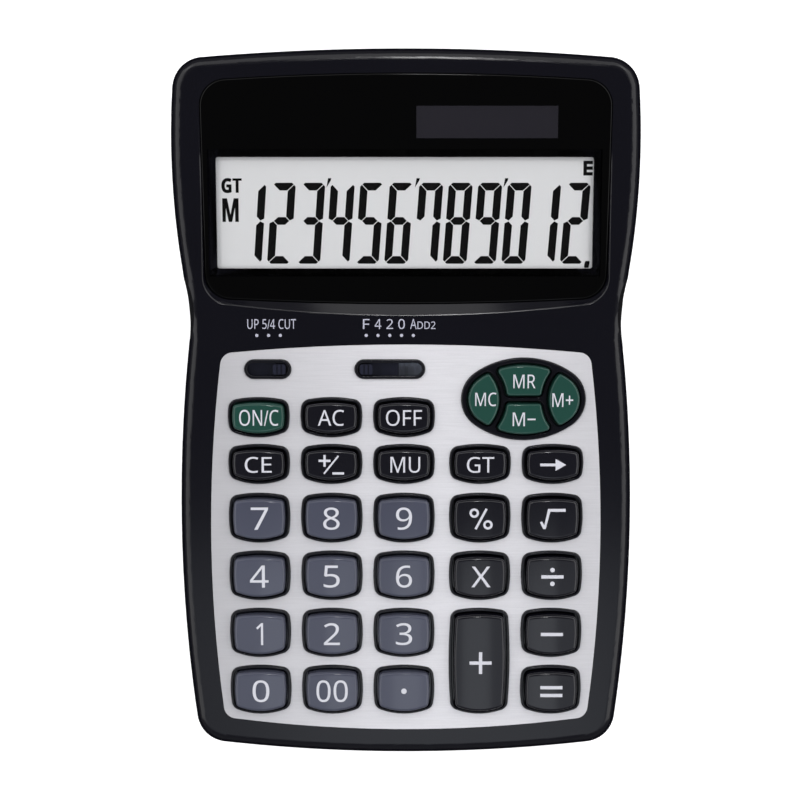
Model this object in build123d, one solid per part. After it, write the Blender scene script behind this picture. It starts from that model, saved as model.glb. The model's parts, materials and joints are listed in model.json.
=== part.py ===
from build123d import *
import math
import os

# Desk calculator with a fixed display head. Millimetres. X to the right, Y to the back, Z up.
# The table is Z = 0 and the middle of the footprint is X = Y = 0.

# Keypad pattern, measured in the plane of the sloping deck
COLUMN_PITCH = 19.5  # between neighbouring key columns
BLOCK_PITCH = 20.5  # between the last figure column and the first operator column
NUMBER_PITCH = 15.8  # between rows of figure keys
FUNCTION_PITCH = 12.65  # between the two rows of function keys
BLOCK_STEP = 14.65  # top figure row to lower function row
MEMORY_SHIFT = 1.8  # memory oval to the right of the middle of the operator columns
MEMORY_LIFT = 4.95  # memory oval behind the upper function row
SWITCH_LIFT = 12.95  # slide switches behind the upper function row

# Key wells: outside of the raised collars
WELL_WIDTH = 16.4
NUMBER_WELL = 13.45
FUNCTION_WELL = 10.7
WELL_CORNER = 2.4
LEAST_CORNER = 0.4  # inside the caps
WELL_BOW_SIDE = 0.55
WELL_BOW_BACK = 0.9
WELL_BOW_FRONT = 1.7
COLLAR_WIDTH = 0.75
COLLAR_RISE = 0.7  # above the deck
COLLAR_ROUND = 0.3
KEY_GAP = 0.3  # between a key and its collar
OVAL_RADIUS = 22.8  # long sides of the memory oval
OVAL_WIDTH = 22.1  # its short axis
OVAL_END = 8.5  # radius of its ends
OVAL_COLLAR = 1.3
DIVIDER_RADIUS = 11.2  # curved dividers in the oval
DIVIDER_REACH = 5.6  # from the middle of the oval to the dividers
DIVIDER_WIDTH = 1.1
HOLE_CORNER = 1.4

# Keys, heights from the deck surface
CAP_TOP = 2.9
CAP_DRAFT = 3.0  # degrees
CAP_ROUND = 0.8
MEMORY_ROUND = 0.5
CAP_CROWN = 60.0  # radius across the key
CAP_WALL = 1.3
CAP_ROOF = 1.6
KEY_TRAVEL = 1.5
KEY_PLAY = 0.1  # between a flange and the deck
FLANGE_REACH = 0.6  # beyond the hole
MEMORY_FLANGE = 0.3
FLANGE_THICK = 0.8
PLUNGER = 4.0  # diameter

# Slide switches
SWITCH_STEP = 3.15  # between two places
ROUNDING_PLACES = 3
DECIMAL_PLACES = 5
ROUNDING_SHIFT = 2.5  # slot to the right of the first column
DECIMAL_SHIFT = -3.8  # slot from the third column
NUB_LENGTH = 3.4
NUB_WIDTH = 2.7
NUB_RISE = 1.1
NUB_RIBS = 3
NUB_GROOVE = 0.4
NUB_CORNER = 0.6
SLOT_END = 0.55  # play behind the nub at either end
SLOT_SIDE = 0.35
SLOT_COLLAR = 0.85
CARRIAGE_LENGTH = 17.4
CARRIAGE_WIDTH = 5.6
CARRIAGE_THICK = 1.1
CARRIAGE_CORNER = 0.8

# Faceplate
PLATE_THICK = 0.5
PLATE_SIDE_MARGIN = 4.95
PLATE_FRONT_MARGIN = 4.475
PLATE_BACK_MARGIN = 6.6
PLATE_SIDE_BOW = 3.3
PLATE_FRONT_BOW = 3.4
PLATE_BACK_BOW = 2.4
PLATE_CORNER = 3.4
PLATE_FIT = 0.12

# Display head, measured in the plane of the lens
VIEW_WIDTH = 100.4
VIEW_HEIGHT = 29.5
VIEW_CORNER = 0.6
VIEW_SHIFT = -0.3
LENS_FOOT = 9.35  # front edge of the lens to the display window
VIEW_TO_CELL = 4.9
CELL_VIEW_WIDTH = 37.3
CELL_VIEW_HEIGHT = 8.4
CELL_SHIFT = 21.4
LENS_BROW = 8.45  # light cell window to the back edge of the lens
LENS_SIDE = 4.2
LENS_TAPER = 0.8
LENS_BACK_BOW = 2.0
LENS_FRONT_BOW = 1.6
LENS_CORNER = 7.0
LENS_THICK = 1.6
LENS_PROUD = 0.25
LENS_FIT = 0.15
LENS_ROUND = 0.4
LIP_REACH = 2.65  # width of the slope in front of the lens
LIP_BOW = 3.4  # how much more that slope curves than the lens
LIP_ROUND = 0.5
LIP_FLARE = 0.5
TRAY_WALL = 1.2
TRAY_RIM = 1.6
PANEL_MARGIN = 2.4
PANEL_LEDGE = 3.0
PANEL_THICK = 2.3
CELL_MARGIN = 1.6
CELL_THICK = 1.1
RETAINER_THICK = 1.6
RETAINER_BAND = 4.0
EAR_RADIUS = 2.5
EAR_SPREAD = 10.0

# Case
FRONT_RIM = 6.8
SIDE_RIM = 8.35
WAIST_BAND = 11.0  # faceplate to lens
WAIST_STEP = 1.5  # faceplate to the narrowest place
FLANK_REACH = 20.0  # narrowest place to the swell of the head
HEAD_APEX = 41.2  # front edge of the lens to the widest place of the head
HEAD_RIM = 8.0
BACK_RIM = 6.95
FRONT_HEIGHT = 13.0
DECK_SLOPE = 5.5  # degrees
HEAD_SLOPE = 8.5  # degrees
CREST_DROP = 1.8  # front edge of the lens plane below the deck
KNEE_RADIUS = 600.0
BODY_SIDE_RADIUS = 417.0
HEAD_SIDE_RADIUS = 203.0
FRONT_BOW = 3.6
BACK_BOW = 2.8
CASE_CORNER = 8.5
WAIST_ROUND = 18.0
TOP_ROUND = 3.0
WALL = 2.2
FLOOR = 2.0
PARTING_FRONT = 6.0  # height of the joint between the shells at the front
LIP_HEIGHT = 1.2
LIP_FIT = 0.1
KEEL_IN = 2.2
KEEL_UP = 3.0
SCOOP_RADIUS = 25.0
SCOOP_BITE = 1.95
SCOOP_DEPTH = 7.0
SCOOP_OUT = 0.25
SCOOP_BACK = 5.6  # behind the waist

# Electronics, heights below the deck surface
MAT_THICK = 0.7
DOME_FOOT = 7.0
DOME_HEAD = 4.4
DOME_WALL = 0.55
PILL = 2.6
PILL_THICK = 0.4
PRESS_SPARE = 0.3  # left under a fully pressed key
MAT_REACH = 14.4  # to the right of the oval's middle
MAT_INNER = 18.8  # to the left of it
MAT_PLAY = 0.3
BOARD_THICK = 1.2
BOARD_MARGIN = 1.3
BOARD_SPARE = 0.4  # beyond the mat
BOARD_TAIL = 4.2  # behind the faceplate
BOARD_CORNER = 2.0
RIBBON_WIDTH = 56.0
RIBBON_THICK = 0.25
RIBBON_LAP = 3.0
RIBBON_OUT = 0.5  # behind the board
RIBBON_IN = 1.5  # in front of the panel
RIBBON_SHORT = 0.4
WIPER_THICK = 0.3
WIPER_WIDTH = 2.4
WIPER_REACH = 6.0
WIPER_LEG = 2.0
WIPER_TOE = 0.6
WIPER_GAP = 0.05
CHIP = 12.0
CHIP_HEIGHT = 1.5

# Fasteners, feet and battery
BOSS = 3.6
BOSS_BACK = 0.7  # behind the faceplate
OVERLAP = 0.2  # by which joined forms run into each other
BOARD_SCREW = 1.4
BOARD_BITE = 2.2
THREAD_FIT = 0.1
SHANK_FIT = 0.4
PILOT_SPARE = 0.4
SCREW_ROUND = 0.35
BOARD_HEAD = 3.2
BOARD_HEAD_THICK = 1.1
CASE_SCREW = 2.6
CASE_HEAD = 5.0
CASE_HEAD_THICK = 1.8
CASE_BITE = 3.0  # thread length in the upper boss
CASE_BOSS = 6.0
CASE_SEAT = 2.0  # head of a case screw below the joint
HEAD_FIT = 0.6
FRONT_SCREW_IN = 4.9
BACK_SCREW_IN = 12.4
BACK_SCREW_STEP = 3.0
WELL_WALL = 1.3
FOOT = 10.0
FOOT_THICK = 2.6
FOOT_SEAT = 0.8
FOOT_FIT = 0.2
FRONT_FOOT_IN = 21.0
FRONT_FOOT_STEP = 17.0
BACK_FOOT_IN = 14.0
BACK_FOOT_STEP = 26.0
SMALL_ROUND = 0.5
CELL = 11.6
CELL_HEIGHT = 5.4
CELL_PLAY = 1.2
CHAMBER_WALL = 1.4
BATTERY_LEFT = 4.0  # of the second column
BATTERY_UP = 24.0  # behind the front edge of the lens
COVER_THICK = 1.6
COVER_FIT = 0.15
COVER_LAP = 2.2
COVER_TAIL = 7.5
COVER_CORNER = 1.5
COVER_LEDGE = 1.8
COVER_RECESS = 0.9
COVER_HEAD = 0.8
COVER_BITE = 2.4
CONTACT_THICK = 0.3
CONTACT_WIDTH = 4.0
CONTACT_TAIL = 3.2
CONTACT_GAP = 0.05
SLIT_FIT = 0.2
BOW_FOOT = 0.8
BOW_TOP = 1.0
LEAF_BEND = 2.5
LEAF_FLAT = 1.0
LEAD = 1.0
LEAD_BEND = 0.9
LEAD_GAP = 0.1
LEAD_RISE = 2.5
LEAD_END = 2.0  # behind the faceplate
LEAD_LEFT = 12.0
LEAD_PITCH = 3.0

# Positions that follow from the sizes above
COLUMN_SPAN = 3 * COLUMN_PITCH + BLOCK_PITCH
COLUMNS = [
    -COLUMN_SPAN / 2,
    -COLUMN_SPAN / 2 + COLUMN_PITCH,
    -COLUMN_SPAN / 2 + 2 * COLUMN_PITCH,
    COLUMN_SPAN / 2 - COLUMN_PITCH,
    COLUMN_SPAN / 2,
]
ROW_FIRST = FRONT_RIM + PLATE_FRONT_MARGIN + NUMBER_WELL / 2
NUMBER_ROWS = [ROW_FIRST + NUMBER_PITCH * row for row in range(4)]
FUNCTION_LOW = NUMBER_ROWS[-1] + BLOCK_STEP
FUNCTION_HIGH = FUNCTION_LOW + FUNCTION_PITCH
MEMORY_X = (COLUMNS[3] + COLUMNS[4]) / 2 + MEMORY_SHIFT
MEMORY_Y = FUNCTION_HIGH + MEMORY_LIFT
SWITCH_Y = FUNCTION_HIGH + SWITCH_LIFT
PLATE_BACK = SWITCH_Y + PLATE_BACK_MARGIN
PLATE_WIDTH = COLUMN_SPAN + WELL_WIDTH + 2 * PLATE_SIDE_MARGIN
LENS_LENGTH = LENS_FOOT + VIEW_HEIGHT + VIEW_TO_CELL + CELL_VIEW_HEIGHT + LENS_BROW
LENS_WIDTH = VIEW_WIDTH + 2 * LENS_SIDE
BODY_WIDTH = PLATE_WIDTH + 2 * SIDE_RIM
HEAD_WIDTH = LENS_WIDTH + 2 * HEAD_RIM
COS_DECK = math.cos(math.radians(DECK_SLOPE))
TAN_DECK = math.tan(math.radians(DECK_SLOPE))
COS_HEAD = math.cos(math.radians(HEAD_SLOPE))
TAN_HEAD = math.tan(math.radians(HEAD_SLOPE))
LENS_START = (PLATE_BACK + WAIST_BAND) * COS_DECK
LENGTH = LENS_START + LENS_LENGTH * COS_HEAD + BACK_RIM
FRONT_Y = -LENGTH / 2
LENS_Y = FRONT_Y + LENS_START
WAIST_Y = FRONT_Y + (PLATE_BACK + WAIST_STEP) * COS_DECK
BODY_APEX_Y = FRONT_Y + NUMBER_ROWS[3] * COS_DECK
HEAD_APEX_Y = LENS_Y + HEAD_APEX
BASE_Z = FOOT_THICK - FOOT_SEAT
FLOOR_Z = BASE_Z + FLOOR
LENS_Z = FRONT_HEIGHT + LENS_START * TAN_DECK - CREST_DROP
KNEE_Y = LENS_Y + CREST_DROP / (TAN_HEAD - TAN_DECK)
TALL = LENGTH / 2

DECK = Location((0, FRONT_Y, FRONT_HEIGHT), (DECK_SLOPE, 0, 0))
HEAD = Location((0, LENS_Y, LENS_Z), (HEAD_SLOPE, 0, 0))

FLANGE_TOP = -WALL - KEY_PLAY
KEY_FOOT = FLANGE_TOP - FLANGE_THICK
MAT_TOP = KEY_FOOT - KEY_TRAVEL - PRESS_SPARE
BOARD_TOP = MAT_TOP - MAT_THICK
BOARD_UNDER = BOARD_TOP - BOARD_THICK
LENS_UNDER = LENS_PROUD - LENS_THICK
TRAY_UNDER = LENS_UNDER - TRAY_WALL
PANEL_UNDER = TRAY_UNDER - PANEL_THICK
RETAINER_UNDER = PANEL_UNDER - RETAINER_THICK

VIEW_Y = LENS_FOOT + VIEW_HEIGHT / 2
CELL_VIEW_Y = LENS_FOOT + VIEW_HEIGHT + VIEW_TO_CELL + CELL_VIEW_HEIGHT / 2
PANEL_WIDTH = VIEW_WIDTH + 2 * PANEL_MARGIN
PANEL_FRONT = LENS_FOOT - PANEL_MARGIN - PANEL_LEDGE
PANEL_BACK = LENS_FOOT + VIEW_HEIGHT + PANEL_MARGIN

NUMBER_KEYS = [
    ["key_0", "key_double_zero", "key_point"],
    ["key_1", "key_2", "key_3"],
    ["key_4", "key_5", "key_6"],
    ["key_7", "key_8", "key_9"],
]
OPERATOR_KEYS = [
    ("key_multiply", 3, 2),
    ("key_percent", 3, 3),
    ("key_equals", 4, 0),
    ("key_minus", 4, 1),
    ("key_divide", 4, 2),
    ("key_root", 4, 3),
]
LOW_KEYS = ["key_clear_entry", "key_sign", "key_mark_up", "key_grand_total", "key_backspace"]
HIGH_KEYS = ["key_on_clear", "key_all_clear", "key_off"]


def deck_height(y):
    """Height of the deck plane at a place along Y."""
    return FRONT_HEIGHT + (y - FRONT_Y) * TAN_DECK


def head_height(y):
    """Height of the lens plane at a place along Y."""
    return LENS_Z + (y - LENS_Y) * TAN_HEAD


def parting_height(y):
    """Height of the joint between the two shells."""
    return PARTING_FRONT + (y - FRONT_Y) * TAN_DECK


def prism(face, low, high):
    """A flat outline raised between two heights."""
    return extrude(Pos(0, 0, low) * face, amount=high - low)


def rod(diameter, low, high):
    """An upright round bar between two heights."""
    return Pos(0, 0, (low + high) / 2) * Cylinder(diameter / 2, high - low)


def middle(face):
    """Middle of the box round an outline."""
    return face.bounding_box().center()


def bowed(width, length, side, back, front, corner, inset=0.0):
    """A rounded rectangle whose four sides swell outwards, drawn in by inset."""
    half_x = width / 2 - side
    half_y = (length - back - front) / 2
    back_radius = (half_x**2 + back**2) / (2 * back)
    front_radius = (half_x**2 + front**2) / (2 * front)
    side_radius = (half_y**2 + side**2) / (2 * side)
    shift = (front - back) / 2
    face = Pos(0, length / 2 - back_radius) * Circle(back_radius - inset)
    face = face & Pos(0, front_radius - length / 2) * Circle(front_radius - inset)
    for sign in (-1, 1):
        face = face & Pos(sign * (width / 2 - side_radius), shift) * Circle(side_radius - inset)
    return fillet(face.vertices(), max(corner - inset, LEAST_CORNER))


def swell(radius, reach):
    """How far an arc falls back at a distance from its top."""
    return radius - math.sqrt(radius**2 - reach**2)


def case_outline(inset=0.0):
    """Plan of the case: swelling head, waist and keypad half."""
    back_y = LENGTH / 2 - BACK_BOW
    front_y = FRONT_Y + FRONT_BOW
    flank_y = WAIST_Y + FLANK_REACH
    back_x = HEAD_WIDTH / 2 - swell(HEAD_SIDE_RADIUS, back_y - HEAD_APEX_Y)
    flank_x = HEAD_WIDTH / 2 - swell(HEAD_SIDE_RADIUS, HEAD_APEX_Y - flank_y)
    waist_x = BODY_WIDTH / 2 - swell(BODY_SIDE_RADIUS, WAIST_Y - BODY_APEX_Y)
    front_x = BODY_WIDTH / 2 - swell(BODY_SIDE_RADIUS, BODY_APEX_Y - front_y)
    head = ThreePointArc((back_x, back_y), (HEAD_WIDTH / 2, HEAD_APEX_Y), (flank_x, flank_y))
    flank = TangentArc((flank_x, flank_y), (waist_x, WAIST_Y), tangent=head % 1)
    body = ThreePointArc((waist_x, WAIST_Y), (BODY_WIDTH / 2, BODY_APEX_Y), (front_x, front_y))
    right = [head, flank, body]
    left = [mirror(edge, about=Plane.YZ) for edge in right]
    back = ThreePointArc((-back_x, back_y), (0, LENGTH / 2), (back_x, back_y))
    front = ThreePointArc((-front_x, front_y), (0, FRONT_Y), (front_x, front_y))
    face = make_face([back, front, *right, *left])
    corners = face.vertices().filter_by(lambda v: abs(v.Y - back_y) < 0.01 or abs(v.Y - front_y) < 0.01)
    face = fillet(corners, CASE_CORNER)
    waist = face.vertices().filter_by(lambda v: abs(v.Y - WAIST_Y) < 0.01)
    face = fillet(waist, WAIST_ROUND)
    return drawn_in(face, inset) if inset else face


def drawn_in(face, inset):
    """A smooth outline of arcs, moved inwards all round."""
    arcs = []
    for edge in face.edges():
        points = []
        for share in (0, 0.5, 1):
            point = edge @ share
            along = edge % share
            inward = Vector(-along.Y, along.X)
            side = -1 if inward.dot(point) > 0 else 1
            points.append(point + inward * (side * inset))
        arcs.append(ThreePointArc(*points))
    return make_face(arcs)


def under_top(drop):
    """All space below the upper surface, lowered by drop."""
    corners = [
        (-LENGTH, -LENGTH),
        (-LENGTH, deck_height(-LENGTH) - drop),
        (KNEE_Y, deck_height(KNEE_Y) - drop),
        (LENGTH, head_height(LENGTH) - drop),
        (LENGTH, -LENGTH),
    ]
    face = make_face(Polyline(*corners, close=True))
    knee = face.vertices().sort_by_distance((KNEE_Y, deck_height(KNEE_Y) - drop))[0]
    return extrude(Plane.YZ * fillet(knee, KNEE_RADIUS), amount=LENGTH, both=True)


def under_joint(rise=0.0):
    """All space below the joint between the shells, raised by rise."""
    corners = [
        (-LENGTH, -LENGTH),
        (-LENGTH, parting_height(-LENGTH) + rise),
        (LENGTH, parting_height(LENGTH) + rise),
        (LENGTH, -LENGTH),
    ]
    return extrude(Plane.YZ * make_face(Polyline(*corners, close=True)), amount=LENGTH, both=True)


def lens_outline(grow=0.0, reach=0.0, bow=LENS_FRONT_BOW):
    """Plan of the lens in the head plane; reach and bow shape its front edge."""
    back_x = LENS_WIDTH / 2 + grow
    front_x = back_x - LENS_TAPER
    back_y = LENS_LENGTH + grow
    front_y = -reach - grow
    sides = [
        ThreePointArc((-back_x, back_y - LENS_BACK_BOW), (0, back_y), (back_x, back_y - LENS_BACK_BOW)),
        Line((back_x, back_y - LENS_BACK_BOW), (front_x, front_y + bow)),
        ThreePointArc((front_x, front_y + bow), (0, front_y), (-front_x, front_y + bow)),
        Line((-front_x, front_y + bow), (-back_x, back_y - LENS_BACK_BOW)),
    ]
    face = make_face(sides)
    return fillet(face.vertices(), LENS_CORNER)


def plate_outline(grow=0.0):
    """Plan of the faceplate in the deck plane."""
    length = PLATE_BACK - FRONT_RIM
    face = bowed(PLATE_WIDTH, length, PLATE_SIDE_BOW, PLATE_BACK_BOW, PLATE_FRONT_BOW, PLATE_CORNER, -grow)
    return Pos(0, FRONT_RIM + length / 2) * face


def oval(inset):
    """Memory oval: two long arcs with round ends."""
    drop = OVAL_RADIUS - OVAL_WIDTH / 2
    round_side = Circle(OVAL_RADIUS - inset)
    face = (Pos(0, drop) * round_side) & (Pos(0, -drop) * round_side)
    return fillet(face.vertices(), OVAL_END - inset)


def memory_hole(index, inset=0.0):
    """One opening of the memory oval about its middle: left, back, right or front."""
    inner = oval(OVAL_COLLAR + inset)
    far = DIVIDER_REACH + DIVIDER_RADIUS
    half_web = DIVIDER_WIDTH / 2 + inset
    if index % 2 == 0:
        reach = DIVIDER_RADIUS - half_web
        face = inner & (Pos(-far, 0) * Circle(reach))
    else:
        reach = DIVIDER_RADIUS + half_web
        half = Pos(0, half_web + OVAL_WIDTH) * Rectangle(4 * OVAL_WIDTH, 2 * OVAL_WIDTH)
        face = (inner & half) - (Pos(-far, 0) * Circle(reach)) - (Pos(far, 0) * Circle(reach))

    def on_divider(vertex):
        return abs(math.hypot(abs(vertex.X) - far, vertex.Y) - reach) < 0.001

    face = fillet(face.vertices().filter_by(on_divider), HOLE_CORNER - inset)
    if index < 2:
        return face
    return mirror(face, about=Plane.YZ if index == 2 else Plane.XZ)


def well(length, inset=0.0):
    """Outside of a key collar about its middle, drawn in by inset."""
    return bowed(WELL_WIDTH, length, WELL_BOW_SIDE, WELL_BOW_BACK, WELL_BOW_FRONT, WELL_CORNER, inset)


def key_places():
    """Name, place on the deck and well length of every key outside the oval."""
    places = []
    for row, names in enumerate(NUMBER_KEYS):
        for column, name in enumerate(names):
            places.append((name, COLUMNS[column], NUMBER_ROWS[row], NUMBER_WELL))
    for name, column, row in OPERATOR_KEYS:
        places.append((name, COLUMNS[column], NUMBER_ROWS[row], NUMBER_WELL))
    tall = NUMBER_PITCH + NUMBER_WELL
    places.append(("key_plus", COLUMNS[3], (NUMBER_ROWS[0] + NUMBER_ROWS[1]) / 2, tall))
    for column, name in enumerate(LOW_KEYS):
        places.append((name, COLUMNS[column], FUNCTION_LOW, FUNCTION_WELL))
    for column, name in enumerate(HIGH_KEYS):
        places.append((name, COLUMNS[column], FUNCTION_HIGH, FUNCTION_WELL))
    return places


def drafted(outline, inset):
    """A tapering key cap over an outline that can be drawn in."""
    top = CAP_TOP + CAP_ROUND
    lean = (top - FLANGE_TOP) * math.tan(math.radians(CAP_DRAFT))
    return loft([Pos(0, 0, FLANGE_TOP) * outline(inset), Pos(0, 0, top) * outline(inset + lean)], ruled=True)


def crowned(cap, middle_x, edge):
    """Round a key across its width and soften its upper edge."""
    roller = Rot(90, 0, 0) * Cylinder(CAP_CROWN, LENGTH)
    cap = cap & (Pos(middle_x, 0, CAP_TOP - CAP_CROWN) * roller)
    top = cap.faces().sort_by(Axis.Z)[-1]
    return fillet(top.edges(), edge)


def hollow_key(length):
    """A key with a hollow cap, a keeper flange and a plunger, about its own middle."""
    def outline(inset):
        return well(length, inset)

    base = COLLAR_WIDTH + KEY_GAP
    roof = CAP_TOP - CAP_ROOF
    flange = prism(outline(COLLAR_WIDTH - FLANGE_REACH), KEY_FOOT, FLANGE_TOP)
    inside = prism(outline(base + CAP_WALL), KEY_FOOT, roof)
    return crowned(drafted(outline, base), 0, CAP_ROUND) + flange - inside + rod(PLUNGER, KEY_FOOT, roof)


def solid_key(index):
    """A small memory key with its keeper flange."""
    def outline(inset):
        return memory_hole(index, inset)

    cap = crowned(drafted(outline, KEY_GAP), middle(outline(0)).X, MEMORY_ROUND)
    return cap + prism(outline(-MEMORY_FLANGE), KEY_FOOT, FLANGE_TOP)


def collar(well, holes):
    """A raised rim round the openings of a well."""
    rim = prism(well, -WALL / 2, COLLAR_RISE)
    for hole in holes:
        rim = rim - prism(hole, -WALL, 2 * COLLAR_RISE)
    top = rim.faces().sort_by(Axis.Z)[-1]
    return fillet(top.edges(), COLLAR_ROUND)


def slot(places, grow=0.0):
    """Opening of a switch slot about its middle."""
    length = (places - 1) * SWITCH_STEP + NUB_LENGTH + 2 * SLOT_END
    return SlotOverall(length + 2 * grow, NUB_WIDTH + 2 * SLOT_SIDE + 2 * grow)


def slide_switch():
    """A switch knob about its nub: ribbed nub on a flat carriage."""
    nub = Pos(0, 0, (NUB_RISE + FLANGE_TOP) / 2) * Box(NUB_LENGTH, NUB_WIDTH, NUB_RISE - FLANGE_TOP)
    nub = fillet(nub.edges().filter_by(Axis.Z), NUB_CORNER)
    pitch = NUB_LENGTH / NUB_RIBS
    for groove in range(1, NUB_RIBS):
        x = groove * pitch - NUB_LENGTH / 2
        nub = nub - Pos(x, 0, NUB_RISE) * Box(NUB_GROOVE, NUB_WIDTH, 2 * NUB_GROOVE)
    carriage = RectangleRounded(CARRIAGE_LENGTH, CARRIAGE_WIDTH, CARRIAGE_CORNER)
    return nub + prism(carriage, FLANGE_TOP - CARRIAGE_THICK, FLANGE_TOP)


def switch_wiper():
    """A sprung strip from the carriage down to the board, about the nub."""
    top = FLANGE_TOP - CARRIAGE_THICK
    toe = BOARD_TOP + WIPER_GAP + WIPER_THICK
    path = [(-WIPER_REACH, top), (-WIPER_LEG, top), (-WIPER_TOE, toe)]
    path += [(-x, z) for x, z in reversed(path)]
    under = [(x, z - WIPER_THICK) for x, z in reversed(path)]
    face = make_face(Polyline(*path, *under, close=True))
    return extrude(Plane.XZ * face, amount=WIPER_WIDTH / 2, both=True)


def board_bosses():
    """Places on the deck where the board is screwed up against the case."""
    gap_left = (COLUMNS[0] + COLUMNS[1]) / 2
    gap_block = (COLUMNS[2] + COLUMNS[3]) / 2
    gap_right = (COLUMNS[3] + COLUMNS[4]) / 2
    low = (NUMBER_ROWS[0] + NUMBER_ROWS[1]) / 2
    high = (NUMBER_ROWS[2] + NUMBER_ROWS[3]) / 2
    between = (FUNCTION_LOW + FUNCTION_HIGH) / 2
    back = PLATE_BACK + BOSS_BACK
    return [
        (gap_left, low),
        (gap_block, low),
        (gap_left, high),
        (gap_right, high),
        (gap_left, between),
        (gap_block, between),
        (COLUMNS[0], back),
        (COLUMNS[4], back),
    ]


def case_screws():
    """Plan places of the screws that join the shells."""
    side = COLUMN_SPAN / 2 + WELL_WIDTH / 2 + CASE_BOSS / 2
    middle_y = FRONT_Y + (NUMBER_ROWS[3] + FUNCTION_LOW) / 2 * COS_DECK
    front_y = FRONT_Y + (ROW_FIRST - NUMBER_WELL / 2 - CASE_BOSS / 2 - OVERLAP) * COS_DECK
    back_y = LENGTH / 2 - BACK_RIM - BACK_SCREW_STEP
    right = [(side - FRONT_SCREW_IN, front_y), (side, middle_y), (HEAD_WIDTH / 2 - BACK_SCREW_IN, back_y)]
    return [(sign * x, y) for x, y in right for sign in (-1, 1)]


def foot_places():
    """Plan places of the rubber feet."""
    front = (BODY_WIDTH / 2 - FRONT_FOOT_IN, FRONT_Y + FRONT_FOOT_STEP)
    back = (HEAD_WIDTH / 2 - BACK_FOOT_IN, LENGTH / 2 - BACK_FOOT_STEP)
    return [(sign * x, y) for x, y in (front, back) for sign in (-1, 1)]


def scoop(grow):
    """Cone frustums that bite into both sides of the waist."""
    low = deck_height(WAIST_Y + SCOOP_BACK) - SCOOP_DEPTH
    slope = SCOOP_BITE / SCOOP_DEPTH
    height = 4 * SCOOP_DEPTH
    foot = SCOOP_RADIUS - SCOOP_BITE + grow
    waist = BODY_WIDTH / 2 - swell(BODY_SIDE_RADIUS, WAIST_Y - BODY_APEX_Y)
    x = waist + SCOOP_RADIUS - SCOOP_BITE + SCOOP_OUT
    cone = Cone(foot, foot + slope * height, height)
    place = Pos(x, WAIST_Y + SCOOP_BACK, low + height / 2)
    return place * cone, mirror(place * cone, about=Plane.YZ)


def outer_case():
    """Closed outer form of both shells together."""
    outline = case_outline()
    keel_z = BASE_Z + KEEL_UP
    skirt = loft([Pos(0, 0, BASE_Z) * case_outline(KEEL_IN), Pos(0, 0, keel_z) * outline], ruled=True)
    form = prism(outline, keel_z, TALL) & under_top(0)
    upper = form.faces().filter_by(lambda face: face.normal_at().Z > 0.9)
    rim = [edge for edge in upper.edges() if sum(edge in face.edges() for face in upper) == 1]
    return fillet(rim, TOP_ROUND) + skirt


OUTER = outer_case()
CAVITY = prism(case_outline(WALL), FLOOR_Z, TALL) & under_top(WALL)
PLACES = key_places()
MEMORY_HOLES = [memory_hole(index) for index in range(4)]
MEMORY = Pos(MEMORY_X, MEMORY_Y)
MEMORY_KEYS = ["key_memory_clear", "key_memory_recall", "key_memory_plus", "key_memory_minus"]
SWITCHES = [
    ("rounding", COLUMNS[0] + ROUNDING_SHIFT, ROUNDING_PLACES, 1),
    ("decimal", COLUMNS[2] + DECIMAL_SHIFT, DECIMAL_PLACES, -1),
]


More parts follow.
